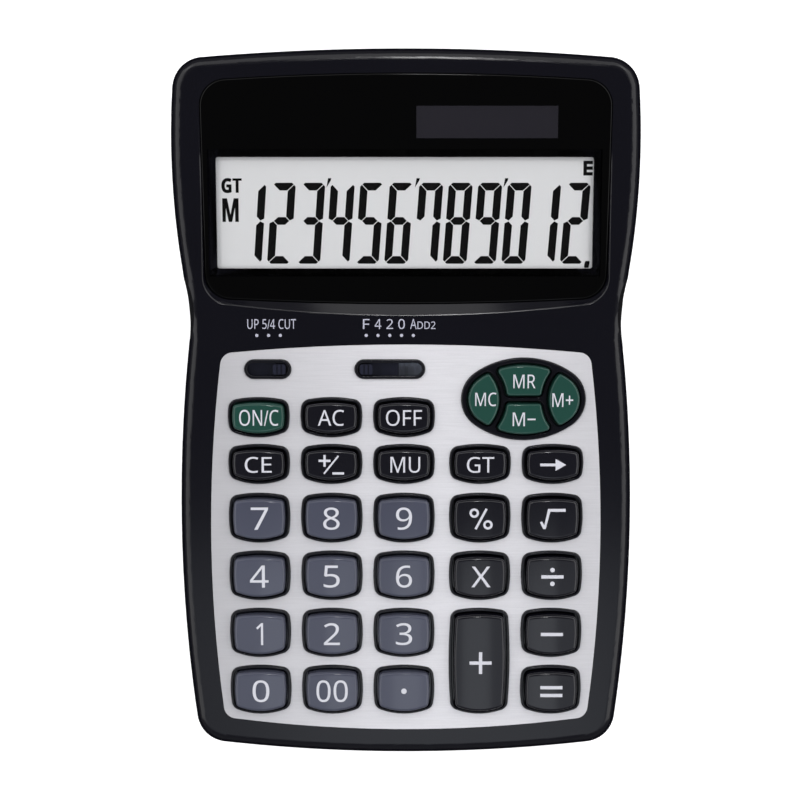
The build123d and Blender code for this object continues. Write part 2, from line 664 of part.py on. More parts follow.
def top_case():
    """Upper shell with deck, collars, display tray and bosses."""
    lip = prism(case_outline(WALL / 2 - LIP_FIT / 2), 0, TALL) & under_joint(LIP_HEIGHT + LIP_FIT)
    shell = OUTER - CAVITY - under_joint() - lip
    for cutter, pad in zip(scoop(0), scoop(WALL)):
        shell = shell + (pad & OUTER - under_joint(LIP_HEIGHT + LIP_FIT)) - cutter
    tray = prism(lens_outline(LENS_FIT + TRAY_RIM), TRAY_UNDER, LENS_PROUD)
    shell = shell + ((HEAD * tray) & OUTER)
    pocket = prism(lens_outline(LENS_FIT), LENS_UNDER, LENS_PROUD)
    rise = 3.0
    ratio = rise / CREST_DROP
    crest = lens_outline(LENS_FIT + LIP_FLARE, LIP_REACH * ratio, LENS_FRONT_BOW + LIP_BOW)
    foot = Pos(0, 0, LENS_PROUD) * lens_outline(LENS_FIT)
    slope = loft([foot, Pos(0, 0, LENS_PROUD + rise) * crest], ruled=True)
    shell = shell - HEAD * (pocket + slope)
    view = Pos(VIEW_SHIFT, VIEW_Y) * RectangleRounded(VIEW_WIDTH, VIEW_HEIGHT, VIEW_CORNER)
    light = Pos(CELL_SHIFT, CELL_VIEW_Y) * RectangleRounded(CELL_VIEW_WIDTH, CELL_VIEW_HEIGHT, VIEW_CORNER)
    shell = shell - HEAD * prism(view + light, TRAY_UNDER - TRAY_WALL, LENS_PROUD)
    shell = shell - DECK * prism(plate_outline(PLATE_FIT), -PLATE_THICK, WALL)

    bosses = [DECK * Pos(x, y) * rod(BOSS, BOARD_TOP, OVERLAP - WALL) for x, y in board_bosses()]
    pilot = rod(BOARD_SCREW + THREAD_FIT, BOARD_TOP, BOARD_TOP + BOARD_BITE + PILOT_SPARE)
    drills = [DECK * Pos(x, y) * pilot for x, y in board_bosses()]
    bite = BOARD_THICK + BOARD_BITE - RETAINER_THICK + OVERLAP
    for x, y in retainer_ears():
        bosses.append(HEAD * Pos(x, y) * rod(BOSS, PANEL_UNDER, TRAY_UNDER + OVERLAP))
        drills.append(HEAD * Pos(x, y) * rod(BOARD_SCREW + THREAD_FIT, PANEL_UNDER, PANEL_UNDER + bite))
    below_deck = under_top(WALL - OVERLAP)
    below_tray = HEAD * prism(lens_outline(2 * HEAD_RIM), -TALL, TRAY_UNDER + OVERLAP)
    for x, y in case_screws():
        joint = parting_height(y)
        boss = Pos(x, y) * rod(CASE_BOSS, joint, TALL)
        bosses.append(boss & (below_deck if y < LENS_Y else below_tray))
        drills.append(Pos(x, y) * rod(CASE_SCREW + THREAD_FIT, joint, joint + CASE_BITE + PILOT_SPARE))
    shell = shell + bosses - drills

    rims = []
    holes = []
    for length in sorted({place[3] for place in PLACES}):
        rim = collar(well(length), [well(length, COLLAR_WIDTH)])
        hole = prism(well(length, COLLAR_WIDTH), -2 * WALL, WALL)
        spots = [Pos(x, y) for _, x, y, size in PLACES if size == length]
        rims += [spot * rim for spot in spots]
        holes += [spot * hole for spot in spots]
    rims.append(MEMORY * collar(oval(0), MEMORY_HOLES))
    holes += [MEMORY * prism(hole, -2 * WALL, WALL) for hole in MEMORY_HOLES]
    for _, x, places, _ in SWITCHES:
        rims.append(Pos(x, SWITCH_Y) * collar(slot(places, SLOT_COLLAR), [slot(places)]))
        holes.append(Pos(x, SWITCH_Y) * prism(slot(places), -2 * WALL, WALL))
    shell = shell - [DECK * hole for hole in holes] + [DECK * rim for rim in rims]
    brow = HEAD * Pos(0, -LIP_REACH, CREST_DROP)
    return fillet(shell.edges().sort_by_distance(brow.position)[0], LIP_ROUND)


def retainer_ears():
    """Places in the head plane of the screws that hold the panel retainer."""
    x = PANEL_WIDTH / 2 + EAR_RADIUS
    half_way = (PANEL_FRONT + PANEL_BACK) / 2
    return [(VIEW_SHIFT + sign * x, half_way + up) for sign in (-1, 1) for up in (-EAR_SPREAD, EAR_SPREAD)]


BATTERY = Pos(COLUMNS[1] - BATTERY_LEFT, LENS_Y + BATTERY_UP)
CHAMBER_WIDTH = CELL + 2 * CELL_PLAY
COVER_INNER = BASE_Z + COVER_THICK
CHAMBER_TOP = COVER_INNER + CELL_HEIGHT + CELL_PLAY
COVER_WIDTH = CHAMBER_WIDTH + 2 * COVER_LAP
COVER_LENGTH = CHAMBER_WIDTH + COVER_LAP + COVER_TAIL
COVER_MIDDLE = (COVER_LAP - COVER_TAIL) / 2
COVER_SCREW_Y = -CHAMBER_WIDTH / 2 - COVER_TAIL / 2
LEDGE_TOP = COVER_INNER + COVER_LEDGE


def bottom_case():
    """Lower shell with lip, screw wells, foot seats and battery chamber."""
    lip = prism(case_outline(WALL / 2 + LIP_FIT / 2), 0, TALL) & under_joint(LIP_HEIGHT)
    shell = (OUTER & under_joint() + lip) - CAVITY
    for x, y in case_screws():
        joint = parting_height(y)
        seat = joint - CASE_SEAT
        post = Pos(x, y) * rod(CASE_HEAD + 2 * WELL_WALL, FLOOR_Z - OVERLAP, joint)
        shell = shell + (post & OUTER)
        shell = shell - Pos(x, y) * rod(CASE_HEAD + HEAD_FIT, 0, seat)
        shell = shell - Pos(x, y) * rod(CASE_SCREW + SHANK_FIT, 0, joint)
    for x, y in foot_places():
        shell = shell - Pos(x, y) * rod(FOOT + FOOT_FIT, 0, FOOT_THICK)
    walled = CHAMBER_WIDTH + 2 * CHAMBER_WALL
    outside = COVER_CORNER + CHAMBER_WALL
    bay = RectangleRounded(COVER_WIDTH + 2 * CHAMBER_WALL, COVER_LENGTH + 2 * CHAMBER_WALL, outside)
    opening = Pos(0, COVER_MIDDLE) * RectangleRounded(COVER_WIDTH, COVER_LENGTH, COVER_CORNER)
    chamber = RectangleRounded(CHAMBER_WIDTH, CHAMBER_WIDTH, COVER_CORNER)
    walls = RectangleRounded(walled, walled, outside)
    shell = shell + BATTERY * Pos(0, COVER_MIDDLE) * prism(bay, FLOOR_Z - OVERLAP, LEDGE_TOP)
    shell = shell + BATTERY * prism(walls, FLOOR_Z, CHAMBER_TOP + CHAMBER_WALL)
    shell = shell - BATTERY * prism(opening, 0, COVER_INNER)
    shell = shell - BATTERY * prism(chamber, 0, CHAMBER_TOP)
    shell = shell - BATTERY * Pos(0, COVER_SCREW_Y) * rod(BOARD_SCREW + THREAD_FIT, 0, LEDGE_TOP)
    slit = Rectangle(CONTACT_THICK + SLIT_FIT, CONTACT_WIDTH + SLIT_FIT)
    slit = prism(slit, CHAMBER_TOP - OVERLAP, CHAMBER_TOP + CHAMBER_WALL + OVERLAP)
    for index, (x, y) in enumerate(contact_tails()):
        shell = shell - BATTERY * Pos(x, y) * Rot(0, 0, 90 * index) * slit
    return shell


def contact_tails():
    """Places of the contact tails that leave the battery chamber: positive, negative."""
    edge = (CHAMBER_WIDTH - CONTACT_THICK - SLIT_FIT) / 2
    return [(-edge, 0), (0, edge)]


TAIL_TOP = CHAMBER_TOP + CONTACT_TAIL


def strip(path, shift, width, plane):
    """A bent metal strip: a path, its copy moved sideways, and a width."""
    dx, dz = shift
    back = [(x + dx, z + dz) for x, z in reversed(path)]
    face = make_face(Polyline(*path, *back, close=True))
    return extrude(plane * face, amount=width / 2, both=True)


def positive_contact():
    """Side contact that leans on the rim of the cell."""
    x = contact_tails()[0][0] - CONTACT_THICK / 2
    near = -CELL / 2 - CONTACT_THICK - CONTACT_GAP
    touch = COVER_INNER + CELL_HEIGHT / 2
    path = [(x, TAIL_TOP), (x, CHAMBER_TOP - BOW_TOP), (near, touch), (x, COVER_INNER + BOW_FOOT)]
    return BATTERY * strip(path, (CONTACT_THICK, 0), CONTACT_WIDTH, Plane.XZ)


def negative_contact():
    """Leaf over the cell with its tail through the chamber roof."""
    y = contact_tails()[1][1] + CONTACT_THICK / 2
    under = CHAMBER_TOP - CONTACT_THICK
    touch = COVER_INNER + CELL_HEIGHT
    path = [(y, TAIL_TOP - CONTACT_THICK), (y, under), (LEAF_BEND, under)]
    path += [(LEAF_FLAT, touch), (-LEAF_FLAT, touch)]
    return BATTERY * strip(path, (-CONTACT_THICK, CONTACT_THICK), CONTACT_WIDTH, Plane.YZ)


def pan_screw(shank, length, head, thick):
    """A screw pointing up, its head below zero."""
    body = rod(shank, -OVERLAP, length) + rod(head, -thick, 0)
    low = body.edges().filter_by(GeomType.CIRCLE).sort_by(Axis.Z)[0]
    return fillet(low, SCREW_ROUND)


def tube(points, diameter, bend):
    """A round lead along a bent path."""
    path = FilletPolyline(*points, radius=bend)
    section = Plane(path @ 0, z_dir=path % 0) * Circle(diameter / 2)
    return sweep(section, path=path)


def key_mat():
    """Rubber sheet with a hollow dome and a contact pill under each key."""
    half = COLUMNS[4] + DOME_FOOT / 2 + BOARD_MARGIN
    front = ROW_FIRST - DOME_FOOT / 2 - BOARD_MARGIN
    step = FUNCTION_HIGH + DOME_FOOT / 2 + BOARD_MARGIN
    back = MEMORY_Y + OVAL_WIDTH / 2
    inner = MEMORY_X - MAT_INNER
    right = MEMORY_X + MAT_REACH
    corners = [(-half, front), (half, front), (half, FUNCTION_LOW), (right, FUNCTION_LOW)]
    corners += [(right, back), (inner, back), (inner, step), (-half, step)]
    sheet = prism(make_face(Polyline(*corners, close=True)), BOARD_TOP, MAT_TOP)
    rise = KEY_FOOT - MAT_TOP
    dome = Pos(0, 0, MAT_TOP + rise / 2) * Cone(DOME_FOOT / 2, DOME_HEAD / 2, rise)
    room = rise + MAT_THICK - DOME_WALL
    hollow = Cone(DOME_FOOT / 2 - DOME_WALL, DOME_HEAD / 2 - DOME_WALL, room)
    hollow = Pos(0, 0, BOARD_TOP + room / 2) * hollow
    pill = rod(PILL, KEY_FOOT - DOME_WALL - PILL_THICK, KEY_FOOT - DOME_WALL + OVERLAP)
    spots = [Pos(x, y) for _, x, y, _ in PLACES]
    spots += [MEMORY * Pos(middle(hole).X, middle(hole).Y) for hole in MEMORY_HOLES]
    mat = sheet + [spot * dome for spot in spots]
    mat = mat - [spot * hollow for spot in spots]
    mat = mat + [spot * pill for spot in spots]
    mat = mat - [Pos(x, y) * rod(BOSS + 2 * MAT_PLAY, BOARD_TOP, MAT_TOP) for x, y in board_bosses()]
    return DECK * mat


def main_board():
    """Circuit board under the mat."""
    half = MEMORY_X + MAT_REACH + BOARD_SPARE
    front = ROW_FIRST - DOME_FOOT / 2 - 2 * BOARD_MARGIN
    back = PLATE_BACK + BOARD_TAIL
    face = Pos(0, (front + back) / 2) * RectangleRounded(2 * half, back - front, BOARD_CORNER)
    board = prism(face, BOARD_UNDER, BOARD_TOP)
    hole = rod(BOARD_SCREW + SHANK_FIT, BOARD_UNDER, BOARD_TOP)
    board = board - [Pos(x, y) * hole for x, y in board_bosses()]
    return DECK * board


def display_panel():
    """Liquid crystal panel: front glass with a contact ledge and a shorter back glass."""
    front = Pos(VIEW_SHIFT, (PANEL_FRONT + PANEL_BACK) / 2) * Rectangle(PANEL_WIDTH, PANEL_BACK - PANEL_FRONT)
    short = PANEL_FRONT + PANEL_LEDGE
    back = Pos(VIEW_SHIFT, (short + PANEL_BACK) / 2) * Rectangle(PANEL_WIDTH, PANEL_BACK - short)
    joint = TRAY_UNDER - PANEL_THICK / 2
    return HEAD * (prism(front, joint, TRAY_UNDER) + prism(back, PANEL_UNDER, joint))


def panel_retainer():
    """Frame behind the panel with four screw ears."""
    short = PANEL_FRONT + PANEL_LEDGE
    place = Pos(VIEW_SHIFT, (short + PANEL_BACK) / 2)
    outside = place * Rectangle(PANEL_WIDTH, PANEL_BACK - short)
    inside = place * Rectangle(PANEL_WIDTH - 2 * RETAINER_BAND, PANEL_BACK - short - 2 * RETAINER_BAND)
    frame = prism(outside - inside, RETAINER_UNDER, PANEL_UNDER)
    for x, y in retainer_ears():
        side = -1 if x > VIEW_SHIFT else 1
        root = Pos(side * EAR_RADIUS, 0) * Rectangle(2 * EAR_RADIUS, 2 * EAR_RADIUS)
        frame = frame + Pos(x, y) * prism(Circle(EAR_RADIUS) + root, RETAINER_UNDER, PANEL_UNDER)
    hole = rod(BOARD_SCREW + SHANK_FIT, RETAINER_UNDER, PANEL_UNDER)
    return HEAD * (frame - [Pos(x, y) * hole for x, y in retainer_ears()])


def panel_ribbon():
    """Flat foil from the ledge of the panel down to the board."""
    ledge = TRAY_UNDER - PANEL_THICK / 2
    board_back = PLATE_BACK + BOARD_TAIL
    spots = [
        DECK * Pos(0, board_back - RIBBON_LAP, BOARD_TOP),
        DECK * Pos(0, board_back + RIBBON_OUT, BOARD_TOP),
        HEAD * Pos(0, PANEL_FRONT - RIBBON_IN, ledge - RIBBON_THICK),
        HEAD * Pos(0, PANEL_FRONT + PANEL_LEDGE - RIBBON_SHORT, ledge - RIBBON_THICK),
    ]
    low = [(spot.position.Y, spot.position.Z) for spot in spots]
    return strip(low, (0, RIBBON_THICK), RIBBON_WIDTH, Plane.YZ)


def controller_chip():
    """Resin drop over the chip on the underside of the board."""
    radius = ((CHIP / 2) ** 2 + CHIP_HEIGHT**2) / (2 * CHIP_HEIGHT)
    drop = Pos(0, 0, BOARD_UNDER - CHIP_HEIGHT + radius) * Sphere(radius)
    slab = rod(2 * CHIP, BOARD_UNDER - 2 * CHIP_HEIGHT, BOARD_UNDER)
    return DECK * Pos(COLUMNS[2], (NUMBER_ROWS[2] + NUMBER_ROWS[3]) / 2) * (drop & slab)


def leads(starts, run_z):
    """Two leads that run forward under the panel and up to the board."""
    end_y = FRONT_Y + (PLATE_BACK + LEAD_END) * COS_DECK
    end_z = deck_height(end_y) + BOARD_UNDER / COS_DECK - LEAD_GAP
    parts = []
    for x, y, z in starts:
        path = [(x, y, z), (x, y, run_z), (x, end_y, run_z), (x, end_y, end_z)]
        parts.append(tube(path, LEAD, LEAD_BEND))
    return parts


def write(name, shape):
    """Store one node."""
    solids = shape if isinstance(shape, list) else [shape]
    body = solids[0] if len(solids) == 1 else Compound(children=[s for part in solids for s in part.solids()])
    body.label = name
    export_step(body, os.path.join("parts", name + ".step"))


def main():
    os.makedirs("parts", exist_ok=True)
    write("top_case", top_case())
    write("bottom_case", bottom_case())

    plate = prism(plate_outline(), -PLATE_THICK, 0)
    plate = plate - [Pos(x, y) * prism(well(length, -PLATE_FIT), -WALL, WALL) for _, x, y, length in PLACES]
    plate = plate - MEMORY * prism(oval(-PLATE_FIT), -WALL, WALL)
    for _, x, places, _ in SWITCHES:
        plate = plate - Pos(x, SWITCH_Y) * prism(slot(places, SLOT_COLLAR + PLATE_FIT), -WALL, WALL)
    write("faceplate", DECK * plate)

    lens = prism(lens_outline(), LENS_UNDER, LENS_PROUD)
    lens = fillet(lens.faces().sort_by(Axis.Z)[-1].edges(), LENS_ROUND)
    write("display_lens", HEAD * lens)
    write("display_panel", display_panel())
    write("panel_retainer", panel_retainer())
    write("panel_ribbon", panel_ribbon())
    cell = Rectangle(CELL_VIEW_WIDTH + 2 * CELL_MARGIN, CELL_VIEW_HEIGHT + 2 * CELL_MARGIN)
    cell = prism(cell, TRAY_UNDER - CELL_THICK, TRAY_UNDER)
    write("light_cell", HEAD * Pos(CELL_SHIFT, CELL_VIEW_Y) * cell)

    caps = {length: hollow_key(length) for length in {place[3] for place in PLACES}}
    for name, x, y, length in PLACES:
        write(name, DECK * Pos(x, y) * caps[length])
    for index, name in enumerate(MEMORY_KEYS):
        write(name, DECK * MEMORY * solid_key(index))
    for name, x, places, side in SWITCHES:
        place = DECK * Pos(x + side * (places - 1) * SWITCH_STEP / 2, SWITCH_Y)
        write(name + "_switch", place * slide_switch())
        write(name + "_wiper", place * switch_wiper())

    write("key_mat", key_mat())
    write("main_board", main_board())
    write("controller_chip", controller_chip())
    small = pan_screw(BOARD_SCREW, BOARD_THICK + BOARD_BITE, BOARD_HEAD, BOARD_HEAD_THICK)
    write("board_screws", [DECK * Pos(x, y, BOARD_UNDER) * small for x, y in board_bosses()])
    write("retainer_screws", [HEAD * Pos(x, y, RETAINER_UNDER) * small for x, y in retainer_ears()])
    long = pan_screw(CASE_SCREW, CASE_SEAT + CASE_BITE, CASE_HEAD, CASE_HEAD_THICK)
    write("case_screws", [Pos(x, y, parting_height(y) - CASE_SEAT) * long for x, y in case_screws()])

    foot = rod(FOOT, 0, FOOT_THICK)
    foot = fillet(foot.edges().sort_by(Axis.Z)[0], SMALL_ROUND)
    write("rubber_feet", [Pos(x, y) * foot for x, y in foot_places()])

    rim = rod(CELL, COVER_INNER, COVER_INNER + CELL_HEIGHT)
    rim = fillet(rim.edges().filter_by(GeomType.CIRCLE), SMALL_ROUND)
    write("button_cell", BATTERY * rim)
    write("positive_contact", positive_contact())
    write("negative_contact", negative_contact())
    fit = 2 * COVER_FIT
    cover = RectangleRounded(COVER_WIDTH - fit, COVER_LENGTH - fit, COVER_CORNER - COVER_FIT)
    cover = Pos(0, COVER_MIDDLE) * prism(cover, BASE_Z, COVER_INNER)
    cover = cover - Pos(0, COVER_SCREW_Y) * rod(BOARD_HEAD + SHANK_FIT, 0, BASE_Z + COVER_RECESS)
    cover = cover - Pos(0, COVER_SCREW_Y) * rod(BOARD_SCREW + SHANK_FIT, 0, COVER_INNER)
    write("battery_cover", BATTERY * cover)
    short = pan_screw(BOARD_SCREW, COVER_BITE, BOARD_HEAD, COVER_HEAD)
    write("cover_screw", BATTERY * Pos(0, COVER_SCREW_Y, BASE_Z + COVER_RECESS) * short)

    tails = [BATTERY * Pos(x, y) for x, y in contact_tails()]
    run_z = TAIL_TOP + LEAD_RISE
    starts = [(tail.position.X, tail.position.Y, TAIL_TOP) for tail in tails]
    write("battery_leads", leads(starts, run_z))
    back = HEAD * Pos(CELL_SHIFT, CELL_VIEW_Y, TRAY_UNDER - CELL_THICK - LEAD_GAP)
    start = back.position
    starts = [(start.X - LEAD_LEFT + shift, start.Y, start.Z) for shift in (0, LEAD_PITCH)]
    write("cell_leads", leads(starts, run_z))


main()
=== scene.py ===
"""Studio scene of a desk calculator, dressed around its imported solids."""
import json
import logging
import math
from dataclasses import dataclass
from enum import Enum
from functools import cache
from typing import Iterable, Optional, Sequence, Union

import bmesh
import bpy
from mathutils import Matrix, Vector


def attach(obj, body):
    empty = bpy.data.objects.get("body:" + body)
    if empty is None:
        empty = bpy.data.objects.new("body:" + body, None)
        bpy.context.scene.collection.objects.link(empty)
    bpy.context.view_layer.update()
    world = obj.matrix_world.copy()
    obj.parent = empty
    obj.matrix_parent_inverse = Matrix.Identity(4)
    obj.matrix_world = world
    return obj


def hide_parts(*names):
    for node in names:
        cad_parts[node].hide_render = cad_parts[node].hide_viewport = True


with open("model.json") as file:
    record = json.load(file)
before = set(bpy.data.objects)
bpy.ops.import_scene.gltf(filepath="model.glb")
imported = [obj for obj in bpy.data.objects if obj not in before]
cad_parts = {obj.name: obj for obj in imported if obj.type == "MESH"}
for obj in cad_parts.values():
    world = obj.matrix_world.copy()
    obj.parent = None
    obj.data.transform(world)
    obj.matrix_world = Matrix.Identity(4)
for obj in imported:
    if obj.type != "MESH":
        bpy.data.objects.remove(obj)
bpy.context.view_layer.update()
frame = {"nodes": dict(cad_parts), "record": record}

LOG = logging.getLogger("calculator")
MM = 0.001

NODE_MERGE = 0.001 * MM  # corners of a node's mesh that lie closer are one
NODE_CUT = 0.0001 * MM  # tolerance of a cut through a node's mesh
DRAWING_MERGE = 0.0005  # the same two for drawings, which are in millimetres
DRAWING_CUT = 0.0001
SHARP = math.radians(35)  # edges that turn by more stay sharp
UPWARD = 0.5  # a face whose normal rises more than this looks up
CIRCLE_SIDES = 24
LETTER_STEPS = 4

Form = bmesh.types.BMesh
Colour = tuple[float, float, float]
Place = tuple[float, float, float]
Point = tuple[float, float]
Span = tuple[float, float]
Value = Union["Wire", float, int, tuple]

MIDDLE: Point = (0.0, 0.0)
WHITE: Colour = (1.0, 1.0, 1.0)
COOL: Colour = (0.94, 1.0, 1.07)  # the front lamps, whose gloss on the keys is a little blue


class Wire:
    """A shader socket that takes part in Python expressions."""

    def __init__(self, graph: "Graph", socket: Optional[bpy.types.NodeSocket]) -> None:
        """Keep a socket, if the node has one, and the graph that it belongs to."""
        self.graph = graph
        self.socket = socket

    def calculate(self, operation: str, first: Value, second: Value = 0.0) -> "Wire":
        """Add one Math node.

        Args:
            operation: Blender's name of the operation.
            first: the first value.
            second: the second value, where the operation has one.

        Returns:
            The result.
        """
        return self.graph.node("ShaderNodeMath", {"operation": operation}, {0: first, 1: second})

    def __add__(self, other: Value) -> "Wire":
        """This plus other."""
        return self.calculate("ADD", self, other)

    __radd__ = __add__

    def __sub__(self, other: Value) -> "Wire":
        """This less other."""
        return self.calculate("SUBTRACT", self, other)

    def __mul__(self, other: Value) -> "Wire":
        """This times other."""
        return self.calculate("MULTIPLY", self, other)

    __rmul__ = __mul__

    def __pow__(self, other: Value) -> "Wire":
        """This to the power of other."""
        return self.calculate("POWER", self, other)

    def __mod__(self, other: Value) -> "Wire":
        """What is left of this after whole steps of other."""
        return self.calculate("FLOORED_MODULO", self, other)

    def __lt__(self, other: Value) -> "Wire":
        """One where this is below other."""
        return self.calculate("LESS_THAN", self, other)

    def __abs__(self) -> "Wire":
        """This without its sign."""
        return self.calculate("ABSOLUTE", self)


class Graph:
    """The shader nodes of one material or of the world."""

    # A Mix node has sockets of the same name for each type of data, so those for colours go by number.
    mix_first, mix_second, mix_result = 6, 7, 2

    def __init__(self, tree: bpy.types.NodeTree) -> None:
        """Start from an empty tree."""
        self.tree = tree
        self.tree.nodes.clear()

    def node(self, kind: str, settings: dict, sockets: dict, output: Union[int, str] = 0) -> Wire:
        """Add any node.

        Args:
            kind: the node's type.
            settings: its properties, set before its sockets; "stops" holds a ramp's colours by place.
            sockets: values or wires by the socket's name or number.
            output: the output to carry on with.

        Returns:
            The chosen output.
        """
        made = self.tree.nodes.new(kind)
        for name, value in settings.items():
            if name == "stops":
                ramp = made.color_ramp.elements
                for index, (place, colour) in enumerate(value):
                    stop = ramp[index] if index < len(ramp) else ramp.new(place)
                    stop.position = place
                    stop.color = colour
            else:
                setattr(made, name, value)
        for name, value in sockets.items():
            if isinstance(value, Wire):
                self.tree.links.new(value.socket, made.inputs[name])
            else:
                made.inputs[name].default_value = value
        return Wire(self, made.outputs[output] if made.outputs else None)

    def place(self) -> Wire:
        """Where a point of the surface lies, in metres."""
        return self.node("ShaderNodeTexCoord", {}, {}, "Object")

    def ray(self, kind: str) -> Wire:
        """One for rays of a kind, zero for others."""
        return self.node("ShaderNodeLightPath", {}, {}, kind)

    def axes(self, vector: Wire) -> tuple[Wire, Wire, Wire]:
        """The three parts of a vector."""
        split = self.node("ShaderNodeSeparateXYZ", {}, {0: vector})
        outputs = split.socket.node.outputs
        return Wire(self, outputs[0]), Wire(self, outputs[1]), Wire(self, outputs[2])

    def noise(self, size: float, detail: float, stretch: Place = (1.0, 1.0, 1.0)) -> Wire:
        """Cloudy values between 0 and 1.

        Args:
            size: width of the clouds in metres.
            detail: how many finer layers they have.
            stretch: how much closer they lie along each axis.

        Returns:
            The value.
        """
        place = self.node("ShaderNodeMapping", {}, {"Vector": self.place(), "Scale": stretch})
        return self.node("ShaderNodeTexNoise", {}, {"Vector": place, "Scale": 1 / size, "Detail": detail})

    def span(self, share: Wire, ends: Span) -> Wire:
        """A value that goes from the first end to the second as share goes from 0 to 1."""
        return ends[0] + (ends[1] - ends[0]) * share

    def mix(self, share: Value, first: Value, second: Value) -> Wire:
        """A colour between two others."""
        sockets = {0: share, self.mix_first: first, self.mix_second: second}
        return self.node("ShaderNodeMix", {"data_type": "RGBA"}, sockets, self.mix_result)

    def bump(self, height: Wire, relief: float) -> Wire:
        """A surface normal from a height between 0 and 1, raised by relief metres."""
        sockets = {"Strength": 1.0, "Distance": relief, "Height": height}
        return self.node("ShaderNodeBump", {}, sockets, "Normal")

    def surface(self, sockets: dict) -> Wire:
        """A principled shader with the given sockets."""
        return self.node("ShaderNodeBsdfPrincipled", {}, sockets)


def shade(colour: Colour, share: float) -> tuple[float, float, float, float]:
    """A colour made darker or lighter, as a socket takes it."""
    return (colour[0] * share, colour[1] * share, colour[2] * share, 1.0)


@dataclass(frozen=True)
class Finish:
    """A surface finish; its material is made once, at its first use."""

    name: str
    colour: Colour

    def paint(self, graph: Graph) -> Wire:
        """The surface shader, which each kind of finish draws its own way."""
        raise NotImplementedError

    def tint(self, graph: Graph, share: Wire, tones: Span) -> Wire:
        """The finish's colour, made darker or lighter from one tone to the other."""
        return graph.mix(share, shade(self.colour, tones[0]), shade(self.colour, tones[1]))

    @cache
    def material(self) -> bpy.types.Material:
        """The material of this finish."""
        made = bpy.data.materials.new(self.name)
        made.use_nodes = True
        graph = Graph(made.node_tree)
        graph.node("ShaderNodeOutputMaterial", {}, {"Surface": self.paint(graph)})
        return made


@dataclass(frozen=True)
class Moulded(Finish):
    """Moulded plastic, resin or rubber with a fine skin, whose grain has a width and a relief."""

    roughness: float
    skin: float
    relief: float
    specular: float = 0.5
    drift: float = 0.1
    cloud: float = 30 * MM
    plain_gloss: float = 0.8
    skin_gloss: float = 0.25
    cloud_gloss: float = 0.15

    def paint(self, graph: Graph) -> Wire:
        """Slow changes of tone, a fine grain in gloss and height."""
        cloud = graph.noise(self.cloud, detail=2.0)
        grain = graph.noise(self.skin, detail=3.0)
        gloss = self.plain_gloss + self.skin_gloss * grain + self.cloud_gloss * cloud
        return graph.surface({
            "Base Color": self.tint(graph, cloud, (1 - self.drift, 1 + self.drift)),
            "Roughness": self.roughness * gloss,
            "Normal": graph.bump(grain, self.relief),
            "Specular IOR Level": self.specular,
        })


@dataclass(frozen=True)
class SatinMetal(Finish):
    """Satin sheet or plated steel with a grain along X, and a painted sheen that makes its colour darker away
    from one line along Y.
    """

    roughness: float
    grain: float
    metallic: float
    # painted sheen: how strongly, where and how fast the base colour is darkened away from one line along Y
    painted_sheen: float = 0.0
    painted_sheen_at: float = 10 * MM
    painted_sheen_reach: float = 60 * MM
    painted_sheen_power: float = 1.5
    painted_sheen_tone: float = 0.4
    streak_share: float = 0.75
    stretch: Place = (0.04, 1.0, 1.0)
    tones: Span = (0.87, 1.13)
    gloss: Span = (0.85, 1.15)
    relief: float = 0.004 * MM

    def paint(self, graph: Graph) -> Wire:
        """Long fine streaks under a painted sheen that darkens the colour away from one line."""
        streak = graph.noise(self.grain, detail=2.0, stretch=self.stretch)
        fleck = graph.noise(self.grain, detail=1.0)
        across, _, _ = graph.axes(graph.place())
        aside = abs(across - self.painted_sheen_at) * (1 / self.painted_sheen_reach)
        share = self.streak_share * streak + (1 - self.streak_share) * fleck
        grain = self.tint(graph, share, self.tones)
        # painted sheen: the base colour is darkened away from a line along Y, standing in for a lamp's gloss
        # on the grain
        painted_sheen_falloff = aside**self.painted_sheen_power * self.painted_sheen
        return graph.surface({
            "Base Color": graph.mix(painted_sheen_falloff, grain, shade(self.colour, self.painted_sheen_tone)),
            "Metallic": self.metallic,
            "Roughness": self.roughness * graph.span(streak, self.gloss),
            "Normal": graph.bump(streak, self.relief),
        })


@dataclass(frozen=True)
class Ink(Finish):
    """Printed ink, a little uneven in tone."""

    roughness: float
    specular: float = 0.3
    speckle: float = 0.25 * MM
    tones: Span = (0.93, 1.05)
    gloss: Span = (0.85, 1.15)

    def paint(self, graph: Graph) -> Wire:
        """Fine speckle in tone and gloss."""
        speckle = graph.noise(self.speckle, detail=2.0)
        return graph.surface({
            "Base Color": self.tint(graph, speckle, self.tones),
            "Roughness": self.roughness * graph.span(speckle, self.gloss),
            "Specular IOR Level": self.specular,
        })


@dataclass(frozen=True)
class ClearField(Finish):
    """A field of the lens without print, clear or smoky."""

    density: float
    haze: float = 18 * MM
    tones: Span = (0.9, 1.1)
    gloss: Span = (0.05, 0.07)
    veil: Span = (0.97, 1.03)

    def paint(self, graph: Graph) -> Wire:
        """A thin tint that lets the part behind it show."""
        haze = graph.noise(self.haze, detail=2.0)
        return graph.surface({
            "Base Color": self.tint(graph, haze, self.tones),
            "Roughness": graph.span(haze, self.gloss),
            "Alpha": self.density * graph.span(haze, self.veil),
        })


@dataclass(frozen=True)
class CellStrips(Finish):
    """A light cell divided by thin lines across its length."""

    pitch: float
    line: float
    cloud: float = 8 * MM
    tones: Span = (0.8, 1.25)
    line_tone: float = 2.2
    gloss: Span = (0.2, 0.3)

    def paint(self, graph: Graph) -> Wire:
        """Dark fields between paler lines."""
        across, _, _ = graph.axes(graph.place())
        lines = (across % self.pitch) < self.line
        cloud = graph.noise(self.cloud, detail=3.0)
        field = self.tint(graph, cloud, self.tones)
        return graph.surface({
            "Base Color": graph.mix(lines, field, shade(self.colour, self.line_tone)),
            "Roughness": graph.span(cloud, self.gloss),
        })


